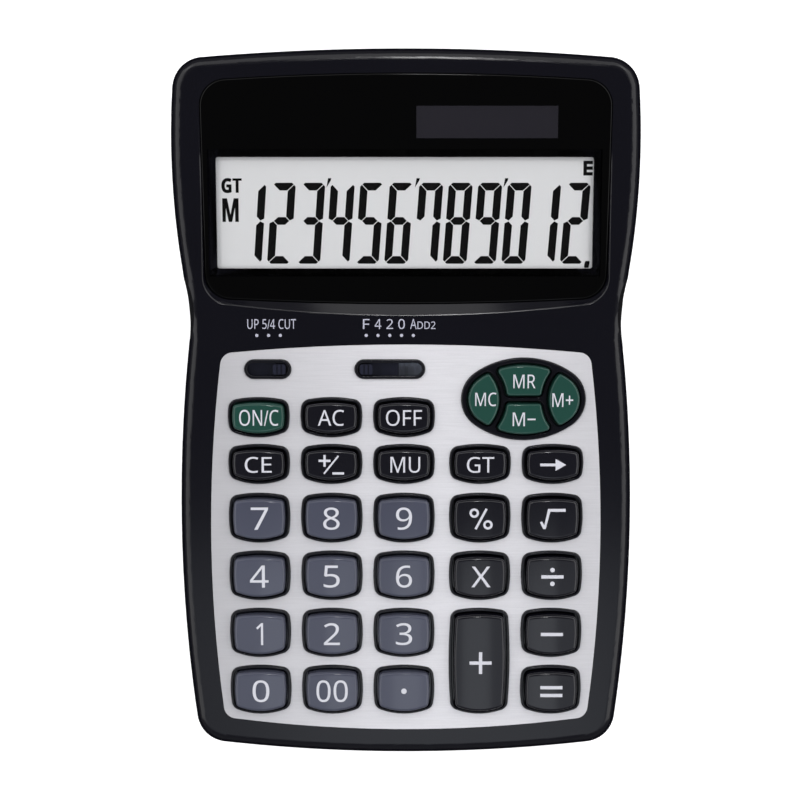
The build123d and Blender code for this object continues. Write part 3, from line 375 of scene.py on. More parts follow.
@dataclass(frozen=True)
class BoardLacquer(Finish):
    """Circuit board lacquer over copper tracks."""

    pitch: float
    cell_pitches: float = 12
    track_share: float = 0.45
    tones: Span = (0.95, 1.08)
    roughness: float = 0.35
    relief: float = 0.03 * MM

    def paint(self, graph: Graph) -> Wire:
        """Tracks that run along the board, broken up by cells."""
        sockets = {"Vector": graph.place(), "Scale": 1 / (self.cell_pitches * self.pitch)}
        cells = graph.node("ShaderNodeTexVoronoi", {"distance": "MANHATTAN"}, sockets, "Color")
        across, _, _ = graph.axes(graph.place())
        shift, _, _ = graph.axes(cells)
        tracks = ((across + shift * self.pitch) % self.pitch) < self.track_share * self.pitch
        return graph.surface({
            "Base Color": self.tint(graph, tracks, self.tones),
            "Roughness": self.roughness,
            "Normal": graph.bump(tracks, self.relief),
        })


@dataclass(frozen=True)
class TablePaper(Finish):
    """White paper that glows a little in the camera's eye and is dark in the gloss of what stands on it."""

    glow: float
    mirror: float
    speckle: float = 40 * MM
    tones: Span = (0.99, 1.0)

    def paint(self, graph: Graph) -> Wire:
        """A faint speckle under the glow, and one dark tone for glossy rays."""
        speckle = graph.noise(self.speckle, detail=2.0)
        base = graph.node("ShaderNodeBsdfDiffuse", {}, {"Color": self.tint(graph, speckle, self.tones)})
        glow = graph.node("ShaderNodeEmission", {}, {"Strength": self.glow * graph.ray("Is Camera Ray")})
        lit = graph.node("ShaderNodeAddShader", {}, {0: base, 1: glow})
        dark = graph.node("ShaderNodeEmission", {}, {"Strength": self.mirror})
        return graph.node("ShaderNodeMixShader", {}, {0: graph.ray("Is Glossy Ray"), 1: lit, 2: dark})


def key_plastic(name: str, colour: Colour, roughness: float) -> Moulded:
    """The satin plastic of a key."""
    return Moulded(name, colour, roughness, skin=0.5 * MM, relief=0.0012 * MM, specular=0.42)


def wire_cover(name: str, colour: Colour) -> Moulded:
    """The insulation of a lead."""
    return Moulded(name, colour, roughness=0.4, skin=0.4 * MM, relief=0.004 * MM)


SHELL_BLACK = Moulded("polished_black", (0.0036, 0.0035, 0.0066), roughness=0.16, skin=0.9 * MM,
                      relief=0.0006 * MM, specular=0.30)
BASE_BLACK = Moulded("eroded_black", (0.013, 0.013, 0.014), roughness=0.55, skin=0.35 * MM, relief=0.03 * MM)
KEY_SLATE = key_plastic("satin_slate", (0.068, 0.0725, 0.105), 0.12)
KEY_BLACK = key_plastic("satin_black", (0.0052, 0.0050, 0.0088), 0.125)
KEY_GREEN = key_plastic("satin_green", (0.0150, 0.0635, 0.0490), 0.13)
SWITCH_BLACK = Moulded("switch_satin", (0.0165, 0.0178, 0.0320), roughness=0.12, skin=0.4 * MM,
                       relief=0.001 * MM)
LENS_BLACK = Moulded("lens_print", (0.0006, 0.0006, 0.0007), roughness=0.07, skin=2.0 * MM,
                     relief=0.0001 * MM, specular=0.18)
FOOT_RUBBER = Moulded("foot_soft", (0.018, 0.018, 0.019), roughness=0.75, skin=0.5 * MM, relief=0.04 * MM)
MAT_RUBBER = Moulded("mat_silicone", (0.42, 0.42, 0.43), roughness=0.6, skin=0.6 * MM, relief=0.02 * MM)
RETAINER_BLACK = Moulded("retainer_black", (0.03, 0.03, 0.034), roughness=0.5, skin=0.4 * MM,
                         relief=0.02 * MM)
RIBBON_AMBER = Moulded("ribbon_amber", (0.36, 0.2, 0.05), roughness=0.3, skin=0.8 * MM, relief=0.004 * MM)
CHIP_RESIN = Moulded("resin_drop", (0.008, 0.008, 0.008), roughness=0.25, skin=1.5 * MM, relief=0.02 * MM)
LEAD_RED = wire_cover("wire_red", (0.32, 0.012, 0.012))
LEAD_BLACK = wire_cover("wire_black", (0.012, 0.012, 0.012))
CRYSTAL = Moulded("crystal_grey", (0.69, 0.69, 0.70), roughness=0.35, skin=0.3 * MM, relief=0.0005 * MM,
                  specular=0.3, drift=0.02)
# the plate's colour carries a painted sheen, darker away from a line just right of its middle
PLATE_SATIN = SatinMetal("satin_plate", (0.785, 0.772, 0.808), roughness=0.42, grain=0.35 * MM, metallic=0.2,
                         painted_sheen=0.53)
STEEL = SatinMetal("plated_steel", (0.58, 0.58, 0.57), roughness=0.3, grain=0.3 * MM, metallic=1.0)
LEGEND_INK = Ink("legend_ink", (0.68, 0.68, 0.74), roughness=0.5)
BAND_INK = Ink("band_ink", (0.52, 0.52, 0.62), roughness=0.5)
CRYSTAL_INK = Ink("crystal_ink", (0.003, 0.003, 0.003), roughness=0.6, specular=0.05)
CLEAR_FIELD = ClearField("clear_field", (0.02, 0.02, 0.02), density=0.012)
SMOKY_FIELD = ClearField("smoky_field", (0.022, 0.0205, 0.027), density=0.72)
CELL_DARK = CellStrips("cell_dark", (0.035, 0.030, 0.042), pitch=9.3 * MM, line=0.25 * MM)
BOARD_PALE = BoardLacquer("board_pale", (0.43, 0.47, 0.60), pitch=1.6 * MM)
TABLE_WHITE = TablePaper("table_white", (0.8, 0.8, 0.8), glow=0.75, mirror=0.02)


def corners(points: Sequence[Vector]) -> tuple[Vector, Vector]:
    """The lowest and the highest corner of the box around some points."""
    low, high = (Vector([end(point[axis] for point in points) for axis in range(3)]) for end in (min, max))
    return low, high


@dataclass(frozen=True)
class WorkPlane:
    """A sloping plane of the case: X across, Y up the slope, Z away from it."""

    turn: Matrix

    @classmethod
    def facing(cls, normal: Vector) -> "WorkPlane":
        """The plane with this normal, through the row's origin."""
        return cls(Matrix.Rotation(math.atan2(-normal.y, normal.z), 4, "X"))

    def box(self, node: str) -> tuple[Vector, Vector]:
        """The lowest and highest corners of a node along the plane's own axes.

        Args:
            node: the CAD node.

        Returns:
            Both corners, in metres.
        """
        back = self.turn.inverted()
        return corners([back @ vertex.co for vertex in frame["nodes"][node].data.vertices])

    def lay(self, form: Form, at: Vector) -> None:
        """Bring a drawing from its own millimetres into the row frame.

        Args:
            form: the drawing.
            at: where its origin goes, along the plane's axes and in millimetres.
        """
        matrix = self.turn @ Matrix.Scale(MM, 4) @ Matrix.Translation(at)
        bmesh.ops.transform(form, matrix=matrix, verts=form.verts)


def largest_normal(node: str) -> Vector:
    """The normal of the widest face of a node that looks up."""
    faces = [face for face in frame["nodes"][node].data.polygons if face.normal.z > UPWARD]
    return max(faces, key=lambda face: face.area).normal.copy()


DECK = WorkPlane.facing(largest_normal("faceplate"))
HEAD = WorkPlane.facing(largest_normal("display_panel"))
BODY_OF = {node: body for body, nodes in frame["record"]["behaviour"]["bodies"].items() for node in nodes}


def dress(finish: Finish, *nodes: str) -> None:
    """Give CAD nodes their finish."""
    for node in nodes:
        materials = frame["nodes"][node].data.materials
        materials.clear()
        materials.append(finish.material())
        LOG.info("dressed %s in %s", node, finish.name)


def new_object(name: str, data: bpy.types.ID) -> bpy.types.Object:
    """A new object of the scene, at the origin."""
    made = bpy.data.objects.new(name, data)
    bpy.context.scene.collection.objects.link(made)
    return made


def add_piece(name: str, form: Form, finishes: Sequence[Finish], body: str,
              replaced: Iterable[str] = ()) -> bpy.types.Object:
    """Make an object of a finished form and let it ride on a body.

    Args:
        name: the piece's name.
        form: its mesh in the row frame; it is used up.
        finishes: one finish for each material number in the mesh.
        body: the body that it rides on.
        replaced: the nodes that it stands for.

    Returns:
        The new object.
    """
    mesh = bpy.data.meshes.new(name)
    form.to_mesh(mesh)
    form.free()
    for finish in finishes:
        mesh.materials.append(finish.material())
    piece = new_object(name, mesh)
    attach(piece, body)
    if replaced:
        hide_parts(*replaced)
    LOG.info("added %s on %s", name, body)
    return piece


def merged_copy(node: str) -> Form:
    """A copy of a node's mesh with its loose triangles joined."""
    form = bmesh.new()
    form.from_mesh(frame["nodes"][node].data)
    bmesh.ops.remove_doubles(form, verts=form.verts, dist=NODE_MERGE)
    return form


def cut_through(form: Form, point: Sequence[float], normal: Sequence[float], tolerance: float) -> None:
    """Cut a whole form along the plane through a point, square to a normal, and keep both sides."""
    geometry = form.verts[:] + form.edges[:] + form.faces[:]
    bmesh.ops.bisect_plane(form, geom=geometry, dist=tolerance, plane_co=point, plane_no=normal)


def smooth_faces(form: Form) -> None:
    """Smooth every face of a form up to its sharp edges."""
    for face in form.faces:
        face.smooth = True
    for edge in form.edges:
        edge.smooth = edge.calc_face_angle(0.0) < SHARP


def even_normals(piece: bpy.types.Object) -> None:
    """Let the large faces of a piece decide how the small ones beside them are shaded."""
    piece.modifiers.new("even_normals", "WEIGHTED_NORMAL").keep_sharp = True


class Weight(Enum):
    """Lettering without serifs: the codes of its figure 0 and of its letter A."""

    PLAIN = (0x1D7E2, 0x1D5A0)
    BOLD = (0x1D7EC, 0x1D5D4)

    def spell(self, text: str) -> str:
        """The same figures and capitals as upright signs without serifs."""
        zero, first = self.value
        plain = ""
        for sign in text:
            if sign.isdigit():
                plain += chr(zero + int(sign))
            elif "A" <= sign <= "Z":
                plain += chr(first + ord(sign) - ord("A"))
            else:
                plain += sign
        return plain


def shifted(at: Point) -> Matrix:
    """A move within a drawing."""
    return Matrix.Translation((at[0], at[1], 0.0))


class Shape:
    """A flat shape of a drawing. Drawings are in millimetres."""

    def draw(self, form: Form) -> None:
        """Add the shape to a drawing, which each kind of shape does its own way."""
        raise NotImplementedError


@dataclass(frozen=True)
class Bar(Shape):
    """A straight stroke about its middle; lean is its turn to the left, in degrees."""

    length: float
    thickness: float
    at: Point = MIDDLE
    lean: float = 0.0

    def draw(self, form: Form) -> None:
        """Add the stroke to a drawing."""
        turn = Matrix.Rotation(math.radians(self.lean), 4, "Z")
        size = Matrix.Diagonal((self.length, self.thickness, 1.0, 1.0))
        matrix = shifted(self.at) @ turn @ size
        bmesh.ops.create_grid(form, x_segments=1, y_segments=1, size=0.5, matrix=matrix)


@dataclass(frozen=True)
class Disc(Shape):
    """A filled circle."""

    diameter: float
    at: Point = MIDDLE

    def draw(self, form: Form) -> None:
        """Add the circle to a drawing."""
        bmesh.ops.create_circle(form, cap_ends=True, segments=CIRCLE_SIDES, radius=self.diameter / 2,
                                matrix=shifted(self.at))


@dataclass(frozen=True)
class Ring(Shape):
    """An open circle, drawn with a line."""

    diameter: float
    line: float
    at: Point = MIDDLE

    def draw(self, form: Form) -> None:
        """Add the ring to a drawing."""
        edges = []
        for diameter in (self.diameter, self.diameter - 2 * self.line):
            loop = bmesh.ops.create_circle(form, segments=CIRCLE_SIDES, radius=diameter / 2,
                                           matrix=shifted(self.at))["verts"]
            edges += dict.fromkeys(edge for vertex in loop for edge in vertex.link_edges)
        bmesh.ops.bridge_loops(form, edges=edges)


@dataclass(frozen=True)
class Patch(Shape):
    """A filled outline with these corners."""

    corners: tuple[Point, ...]
    at: Point = MIDDLE

    def draw(self, form: Form) -> None:
        """Add the outline to a drawing."""
        form.faces.new([form.verts.new((x + self.at[0], y + self.at[1], 0.0)) for x, y in self.corners])


@dataclass(frozen=True)
class Words(Shape):
    """Lettering, fitted into a box about its middle."""

    text: str
    width: float
    height: float
    at: Point = MIDDLE
    weight: Weight = Weight.PLAIN

    def draw(self, form: Form) -> None:
        """Add the lettering to a drawing."""
        curve = bpy.data.curves.new("words", "FONT")
        curve.body = self.weight.spell(self.text)
        curve.resolution_u = LETTER_STEPS
        holder = bpy.data.objects.new("words", curve)
        mesh = bpy.data.meshes.new_from_object(holder)
        low, high = corners([vertex.co for vertex in mesh.vertices])
        size = high - low
        scale = Matrix.Diagonal((self.width / size.x, self.height / size.y, 1.0, 1.0))
        mesh.transform(shifted(self.at) @ scale @ Matrix.Translation((low + high) / -2))
        form.from_mesh(mesh)
        bpy.data.objects.remove(holder)
        bpy.data.curves.remove(curve)
        bpy.data.meshes.remove(mesh)


def drawing(shapes: Iterable[Shape]) -> Form:
    """A new drawing of these shapes."""
    form = bmesh.new()
    for shape in shapes:
        shape.draw(form)
    return form


def embolden(form: Form, spread: float) -> None:
    """Move the outline of a drawing outwards by spread."""
    moves: dict[bmesh.types.BMVert, Vector] = {}
    for edge in form.edges:
        if edge.is_boundary:
            first, last = edge.verts
            along = last.co - first.co
            out = Vector((along.y, -along.x, 0.0)).normalized()
            if out.dot(edge.link_faces[0].calc_center_median() - first.co) > 0:
                out.negate()
            for vertex in edge.verts:
                moves[vertex] = moves.get(vertex, Vector()) + out
    for vertex, move in moves.items():
        vertex.co += move.normalized() * spread


def thicken(form: Form, depth: float) -> None:
    """Turn a drawing into a thin closed body that reaches down by depth."""
    bmesh.ops.remove_doubles(form, verts=form.verts, dist=DRAWING_MERGE)
    top = form.faces[:]
    bmesh.ops.recalc_face_normals(form, faces=top)
    for face in top:
        if face.normal.z < 0:
            face.normal_flip()
    raised = bmesh.ops.extrude_face_region(form, geom=top, use_keep_orig=True)
    moved = [item for item in raised["geom"] if isinstance(item, bmesh.types.BMVert)]
    bmesh.ops.translate(form, verts=moved, vec=(0.0, 0.0, -depth))
    bmesh.ops.recalc_face_normals(form, faces=form.faces)


def cross(span: float, line: float, at: Point = MIDDLE) -> tuple[Bar, Bar, Bar]:
    """The strokes of an upright cross: a whole one across, and half a one below and above it."""
    arm = (span - line) / 2
    reach = (line + arm) / 2
    return Bar(span, line, at), Bar(line, arm, (at[0], at[1] - reach)), Bar(line, arm, (at[0], at[1] + reach))


SIGN_BAR = 6.0
SIGN_STROKE = 0.9
SIGN_LINE = 0.62
SIGN_DOT = 1.25
SIGN_RING = 2.55
EQUALS_UP = 1.08
DIVIDE_UP = 1.89


class Sign(Enum):
    """Signs on the keys that are drawn, not lettered."""

    PLUS = cross(SIGN_BAR, SIGN_STROKE)
    MINUS = (Bar(SIGN_BAR, SIGN_STROKE),)
    EQUALS = (Bar(SIGN_BAR, SIGN_STROKE, (0.0, -EQUALS_UP)), Bar(SIGN_BAR, SIGN_STROKE, (0.0, EQUALS_UP)))
    DIVIDE = (Bar(SIGN_BAR, SIGN_STROKE), Disc(SIGN_DOT, (0.0, -DIVIDE_UP)), Disc(SIGN_DOT, (0.0, DIVIDE_UP)))
    POINT = (Disc(1.2 * SIGN_DOT),)
    PERCENT = (Ring(SIGN_RING, SIGN_LINE, (-1.85, 1.6)), Ring(SIGN_RING, SIGN_LINE, (1.85, -1.6)),
               Bar(6.3, SIGN_LINE, lean=62.0))
    CHANGE = (*cross(3.2, SIGN_LINE, (-1.75, 1.1)), Bar(6.2, 0.45, lean=51.0),
              Bar(3.1, SIGN_LINE, (1.9, -2.3)))
    ARROW = (Bar(4.1, 0.72, (-1.5, 0.0)), Patch(((0.55, -1.6), (3.4, 0.0), (0.55, 1.6))))
    ROOT = (Patch(((-3.5, -0.9), (-2.95, -0.65), (-2.3, -1.75), (-1.35, 2.75), (3.4, 2.75), (3.4, 1.95),
                   (-0.75, 1.95), (-1.95, -2.75), (-2.6, -2.75))),)


@dataclass(frozen=True)
class Print:
    """What one key carries, and its shift from the key's middle in millimetres."""

    shapes: tuple[Shape, ...]
    across: float = 0.0
    up: float = 0.15


FIGURE_HEIGHT = 6.05
FIGURE_UP = 0.25
LETTER_HEIGHT = 4.3
MULTIPLY_HEIGHT = 5.65
MEMORY_HEIGHT = 3.65


def figure(text: str, width: float, across: float = 0.0) -> Print:
    """A figure on a number key."""
    return Print((Words(text, width, FIGURE_HEIGHT),), across, FIGURE_UP)


def letters(text: str, width: float, across: float = 0.0, height: float = LETTER_HEIGHT) -> Print:
    """Lettering on a function key."""
    return Print((Words(text, width, height),), across)


def memory(text: str, width: float, across: float, up: float) -> Print:
    """Lettering on a key of the oval."""
    return Print((Words(text, width, MEMORY_HEIGHT),), across, up)


PRINTS = {
    "key_0": figure("0", 4.55, 0.2),
    "key_1": figure("1", 1.85),
    "key_2": figure("2", 4.35),
    "key_3": figure("3", 4.4),
    "key_4": figure("4", 5.0),
    "key_5": figure("5", 4.35),
    "key_6": figure("6", 4.3),
    "key_7": figure("7", 4.65, 0.2),
    "key_8": figure("8", 4.4),
    "key_9": figure("9", 4.3),
    "key_double_zero": figure("00", 8.5),
    "key_point": Print(Sign.POINT.value, up=FIGURE_UP),
    "key_multiply": letters("X", 5.2, 0.25, MULTIPLY_HEIGHT),
    "key_percent": Print(Sign.PERCENT.value, across=0.2),
    "key_equals": Print(Sign.EQUALS.value),
    "key_minus": Print(Sign.MINUS.value),
    "key_divide": Print(Sign.DIVIDE.value),
    "key_root": Print(Sign.ROOT.value),
    "key_plus": Print(Sign.PLUS.value, across=0.25),
    "key_clear_entry": letters("CE", 7.2),
    "key_sign": Print(Sign.CHANGE.value),
    "key_mark_up": letters("MU", 7.95, 0.35),
    "key_grand_total": letters("GT", 7.3),
    "key_backspace": Print(Sign.ARROW.value),
    "key_on_clear": letters("ON/C", 10.5, 0.25),
    "key_all_clear": letters("AC", 7.0),
    "key_off": letters("OFF", 9.6),
    "key_memory_clear": memory("MC", 5.65, across=0.5, up=0.15),
    "key_memory_recall": memory("MR", 5.9, across=0.0, up=-0.2),
    "key_memory_plus": memory("M+", 5.55, across=-0.5, up=-0.05),
    "key_memory_minus": memory("M\N{MINUS SIGN}", 6.1, across=0.0, up=-0.05),
}


@dataclass
class Keypad:
    """The keys: their plastics and what is printed on them. Sizes in millimetres."""

    crown: float = 60.0
    lift: float = 0.03
    ink: float = 0.06
    slice: float = 0.8
    pip_key: str = "key_5"
    pip: float = 1.1
    pip_up: float = 4.1
    pip_sides: tuple[int, int] = (16, 8)
    pip_squash: Place = (1.0, 0.75, 0.5)

    def build(self) -> None:
        """Dress every key and print its legend."""
        finishes = {"key_slate": KEY_SLATE, "key_black": KEY_BLACK, "key_green": KEY_GREEN}
        for entry in frame["record"]["subparts"]:
            if entry["material_slot"] in finishes:
                dress(finishes[entry["material_slot"]], entry["node"])
        for node, legend in PRINTS.items():
            self.print_key(node, legend)
        self.raise_pip()

    def top(self, node: str) -> Vector:
        """The middle of a key's cap, in the deck plane and in millimetres."""
        low, high = DECK.box(node)
        return Vector(((low.x + high.x) / 2, (low.y + high.y) / 2, high.z)) / MM

    def bend(self, form: Form) -> None:
        """Slice a flat drawing about a key's middle and lay it over the key's crown."""
        reach = max(abs(vertex.co.x) for vertex in form.verts)
        cuts = int(reach / self.slice)
        for cut in range(-cuts, cuts + 1):
            cut_through(form, (cut * self.slice, 0.0, 0.0), (1.0, 0.0, 0.0), DRAWING_CUT)
        for vertex in form.verts:
            vertex.co.z = self.lift - vertex.co.x**2 / (2 * self.crown)

    def print_key(self, node: str, legend: Print) -> None:
        """Print one key.

        Args:
            node: the key.
            legend: what it carries.
        """
        form = drawing(legend.shapes)
        bmesh.ops.translate(form, verts=form.verts, vec=(legend.across, legend.up, 0.0))
        self.bend(form)
        thicken(form, self.ink)
        DECK.lay(form, self.top(node))
        add_piece(node.replace("key_", "legend_"), form, [LEGEND_INK], BODY_OF[node])

    def raise_pip(self) -> None:
        """Add the finder dot of the middle key."""
        form = bmesh.new()
        around, down = self.pip_sides
        bmesh.ops.create_uvsphere(form, u_segments=around, v_segments=down, radius=self.pip / 2)
        bmesh.ops.scale(form, vec=self.pip_squash, verts=form.verts)
        for face in form.faces:
            face.smooth = True
        DECK.lay(form, self.top(self.pip_key) + Vector((0.0, self.pip_up, 0.0)))
        add_piece("finder_pip", form, [KEY_SLATE], BODY_OF[self.pip_key])


@dataclass
class Case:
    """The two shells, the faceplate, the switches and the words on the waist band. Sizes in millimetres."""

    band_up: float = 5.5
    band_height: float = 2.65
    dots_up: float = 2.45
    dot: float = 0.85
    step: float = 3.15
    rounding_width: float = 13.0
    rounding_across: float = -2.0
    rounding_dots: float = 0.3
    sign_width: float = 1.75
    small_share: float = 0.76
    small_width: float = 4.8
    small_across: float = 3.5
    lift: float = 0.02
    ink: float = 0.06

    def build(self) -> None:
        """Dress the shells and print the switch scales."""
        dress(SHELL_BLACK, "top_case")
        dress(BASE_BLACK, "bottom_case", "battery_cover")
        dress(PLATE_SATIN, "faceplate")
        dress(SWITCH_BLACK, "rounding_switch", "decimal_switch")
        dress(FOOT_RUBBER, "rubber_feet")
        self.print_band("scale_rounding", "rounding_switch", self.rounding_scale())
        self.print_band("scale_decimal", "decimal_switch", self.decimal_scale())

    def print_band(self, name: str, switch: str, shapes: Iterable[Shape]) -> None:
        """Print the scale of a switch on the waist band.

        Args:
            name: the piece's name.
            switch: the switch.
            shapes: the scale, about the switch's middle at the back edge of the faceplate.
        """
        form = drawing(shapes)
        thicken(form, self.ink)
        low, high = DECK.box(switch)
        _, plate = DECK.box("faceplate")
        start = Vector(((low.x + high.x) / 2, plate.y, plate.z)) / MM
        DECK.lay(form, start + Vector((0.0, 0.0, self.lift)))
        add_piece(name, form, [BAND_INK], "case")

    def rounding_scale(self) -> list[Shape]:
        """Words and dots of the three-place switch, which rests at its right end."""
        middle = (self.rounding_across, self.band_up)
        words = Words("UP 5/4 CUT", self.rounding_width, self.band_height, middle)
        dots = [Disc(self.dot, (self.rounding_dots - place * self.step, self.dots_up)) for place in range(3)]
        return [words, *dots]

    def decimal_scale(self) -> list[Shape]:
        """Words and dots of the five-place switch, which rests at its left end."""
        shapes: list[Shape] = []
        for place, sign in enumerate("F420A"):
            shapes.append(Words(sign, self.sign_width, self.band_height, (place * self.step, self.band_up)))
            shapes.append(Disc(self.dot, (place * self.step, self.dots_up)))
        small = self.small_share * self.band_height
        low = self.band_up - (self.band_height - small) / 2
        shapes.append(Words("DD2", self.small_width, small, (4 * self.step + self.small_across, low)))
        return shapes


SEGMENTS = {"0": "abcdef", "1": "bc", "2": "abged", "3": "abgcd", "4": "fgbc", "5": "afgcd", "6": "afgedc",
            "7": "fabc", "8": "abcdefg", "9": "abcdfg"}
TICK = ((-0.45, -1.4), (-0.2, 1.1), (0.7, 1.1), (0.55, 0.4))
POINT = ((0.0, -0.7), (0.2, -1.0), (1.1, -1.0), (1.3, -0.8), (1.45, 0.6), (1.25, 0.85), (0.4, 0.85),
         (0.15, 0.65))
MARK_WORDS = (Words("GT", 5.25, 3.75, (-1.2, 20.9), Weight.BOLD),
              Words("M", 4.2, 6.1, (-1.6, 14.4), Weight.BOLD))
MARK_BARS = (Bar(0.95, 3.9, (92.95, 25.5)), Bar(1.6, 0.9, (94.2, 24.0)), Bar(1.6, 0.9, (94.2, 25.5)),
             Bar(1.6, 0.9, (94.2, 27.0)))


@dataclass
class Crystal:
    """The figures of the liquid crystal panel. Sizes in millimetres, from the window's front left corner."""

    figures: str = "123456789012"
    left: float = 5.25
    low: float = 1.1
    pitch: float = 7.86
    width: float = 6.6
    height: float = 21.75
    stroke: float = 2.25
    corner: float = 1.1
    waist: float = 0.53
    gap: float = 0.22
    slant: float = 4.2
    ticks: tuple[int, ...] = (3, 6, 9)
    tick_back: float = 0.55
    point_back: float = 1.2
    mark_spread: float = 0.12
    lift: float = 0.01
    ink: float = 0.02

    def strokes(self) -> dict[str, tuple[Point, ...]]:
        """The seven bars of a figure, as corners that meet without a gap."""
        wide, tall, bar, cut = self.width, self.height, self.stroke, self.corner
        half = self.waist * tall
        inner = wide - bar
        top = ((cut / 2, tall - cut / 2), (cut, tall), (wide - cut, tall), (wide - cut / 2, tall - cut / 2),
               (inner, tall - bar), (bar, tall - bar))
        upper = ((wide - cut / 2, tall - cut / 2), (wide, tall - cut), (wide, half + bar / 4),
                 (wide - bar / 2, half), (inner, half + bar / 2), (inner, tall - bar))
        lower = ((wide - cut / 2, cut / 2), (wide, cut), (wide, half - bar / 4),
                 (wide - bar / 2, half), (inner, half - bar / 2), (inner, bar))
        middle = ((bar / 2, half), (bar, half + bar / 2), (inner, half + bar / 2), (wide - bar / 2, half),
                  (inner, half - bar / 2), (bar, half - bar / 2))
        return {
            "a": top,
            "b": upper,
            "c": lower,
            "d": tuple((x, tall - y) for x, y in top),
            "e": tuple((wide - x, y) for x, y in lower),
            "f": tuple((wide - x, y) for x, y in upper),
            "g": middle,
        }

    def row(self) -> Form:
        """The whole row of figures with its ticks and point, as a slanted drawing."""
        bars = self.strokes()
        form = drawing(Patch(bars[name], (place * self.pitch, 0.0))
                       for place, sign in enumerate(self.figures) for name in SEGMENTS[sign])
        bmesh.ops.recalc_face_normals(form, faces=form.faces)
        rim = bmesh.ops.inset_individual(form, faces=form.faces[:], thickness=self.gap / 2)
        bmesh.ops.delete(form, geom=rim["faces"], context="FACES")
        for group in self.ticks:
            Patch(TICK, (group * self.pitch - self.tick_back, self.height)).draw(form)
        Patch(POINT, (len(self.figures) * self.pitch - self.point_back, 0.0)).draw(form)
        lean = math.tan(math.radians(self.slant))
        for vertex in form.verts:
            vertex.co.x += lean * vertex.co.y
        return form

    def marks(self) -> Form:
        """The upright marks beside the figures, as a drawing."""
        form = drawing(MARK_WORDS)
        embolden(form, self.mark_spread)
        for bar in MARK_BARS:
            bar.draw(form)
        return form


@dataclass
class DisplayHead:
    """Lens, liquid crystal panel and light cell. Sizes in millimetres."""

    panel_margin: float = 2.4
    panel_ledge: float = 3.0
    cell_margin: float = 1.6
    front_relief: float = 2.0

    def build(self) -> None:
        """Cut the lens into its fields and draw the figures."""
        dress(CRYSTAL, "display_panel")
        dress(CELL_DARK, "light_cell")
        self.lens()
        self.figures()

    def view(self) -> tuple[Vector, Vector]:
        """Corners of the display window in the head plane."""
        low, high = HEAD.box("display_panel")
        side = self.panel_margin * MM
        return low + Vector((side, side + self.panel_ledge * MM, 0.0)), high - Vector((side, side, 0.0))

    def cell(self) -> tuple[Vector, Vector]:
        """Corners of the light cell's window in the head plane."""
        low, high = HEAD.box("light_cell")
        side = Vector((self.cell_margin * MM, self.cell_margin * MM, 0.0))
        return low + side, high - side

    def lens(self) -> None:
        """A copy of the lens, split along its fields; that of the display is wider on the front face."""
        form = merged_copy("display_lens")
        bmesh.ops.transform(form, matrix=HEAD.turn.inverted(), verts=form.verts)
        side = Vector((self.front_relief * MM, self.front_relief * MM, 0.0))
        view, cell = self.view(), self.cell()
        wider = (view[0] - side, view[1] + side)
        for field in (view, cell, wider):
            for normal in ((1.0, 0.0, 0.0), (0.0, 1.0, 0.0)):
                for corner in field:
                    cut_through(form, corner, normal, NODE_CUT)
        for face in form.faces:
            middle = face.calc_center_median()
            fields = (wider, cell) if face.normal.z > 0 else (view, cell)
            for number, (low, high) in enumerate(fields, start=1):
                if low.x < middle.x < high.x and low.y < middle.y < high.y:
                    face.material_index = number
        smooth_faces(form)
        bmesh.ops.transform(form, matrix=HEAD.turn, verts=form.verts)
        finishes = [LENS_BLACK, CLEAR_FIELD, SMOKY_FIELD]
        even_normals(add_piece("lens_window", form, finishes, "case", ["display_lens"]))

    def figures(self) -> None:
        """The figures and marks on the panel's front glass."""
        crystal = Crystal()
        low, high = self.view()
        start = Vector((low.x / MM + crystal.left, low.y / MM + crystal.low, high.z / MM + crystal.lift))
        for name, form in (("crystal_figures", crystal.row()), ("crystal_marks", crystal.marks())):
            thicken(form, crystal.ink)
            HEAD.lay(form, start)
            add_piece(name, form, [CRYSTAL_INK], "case")


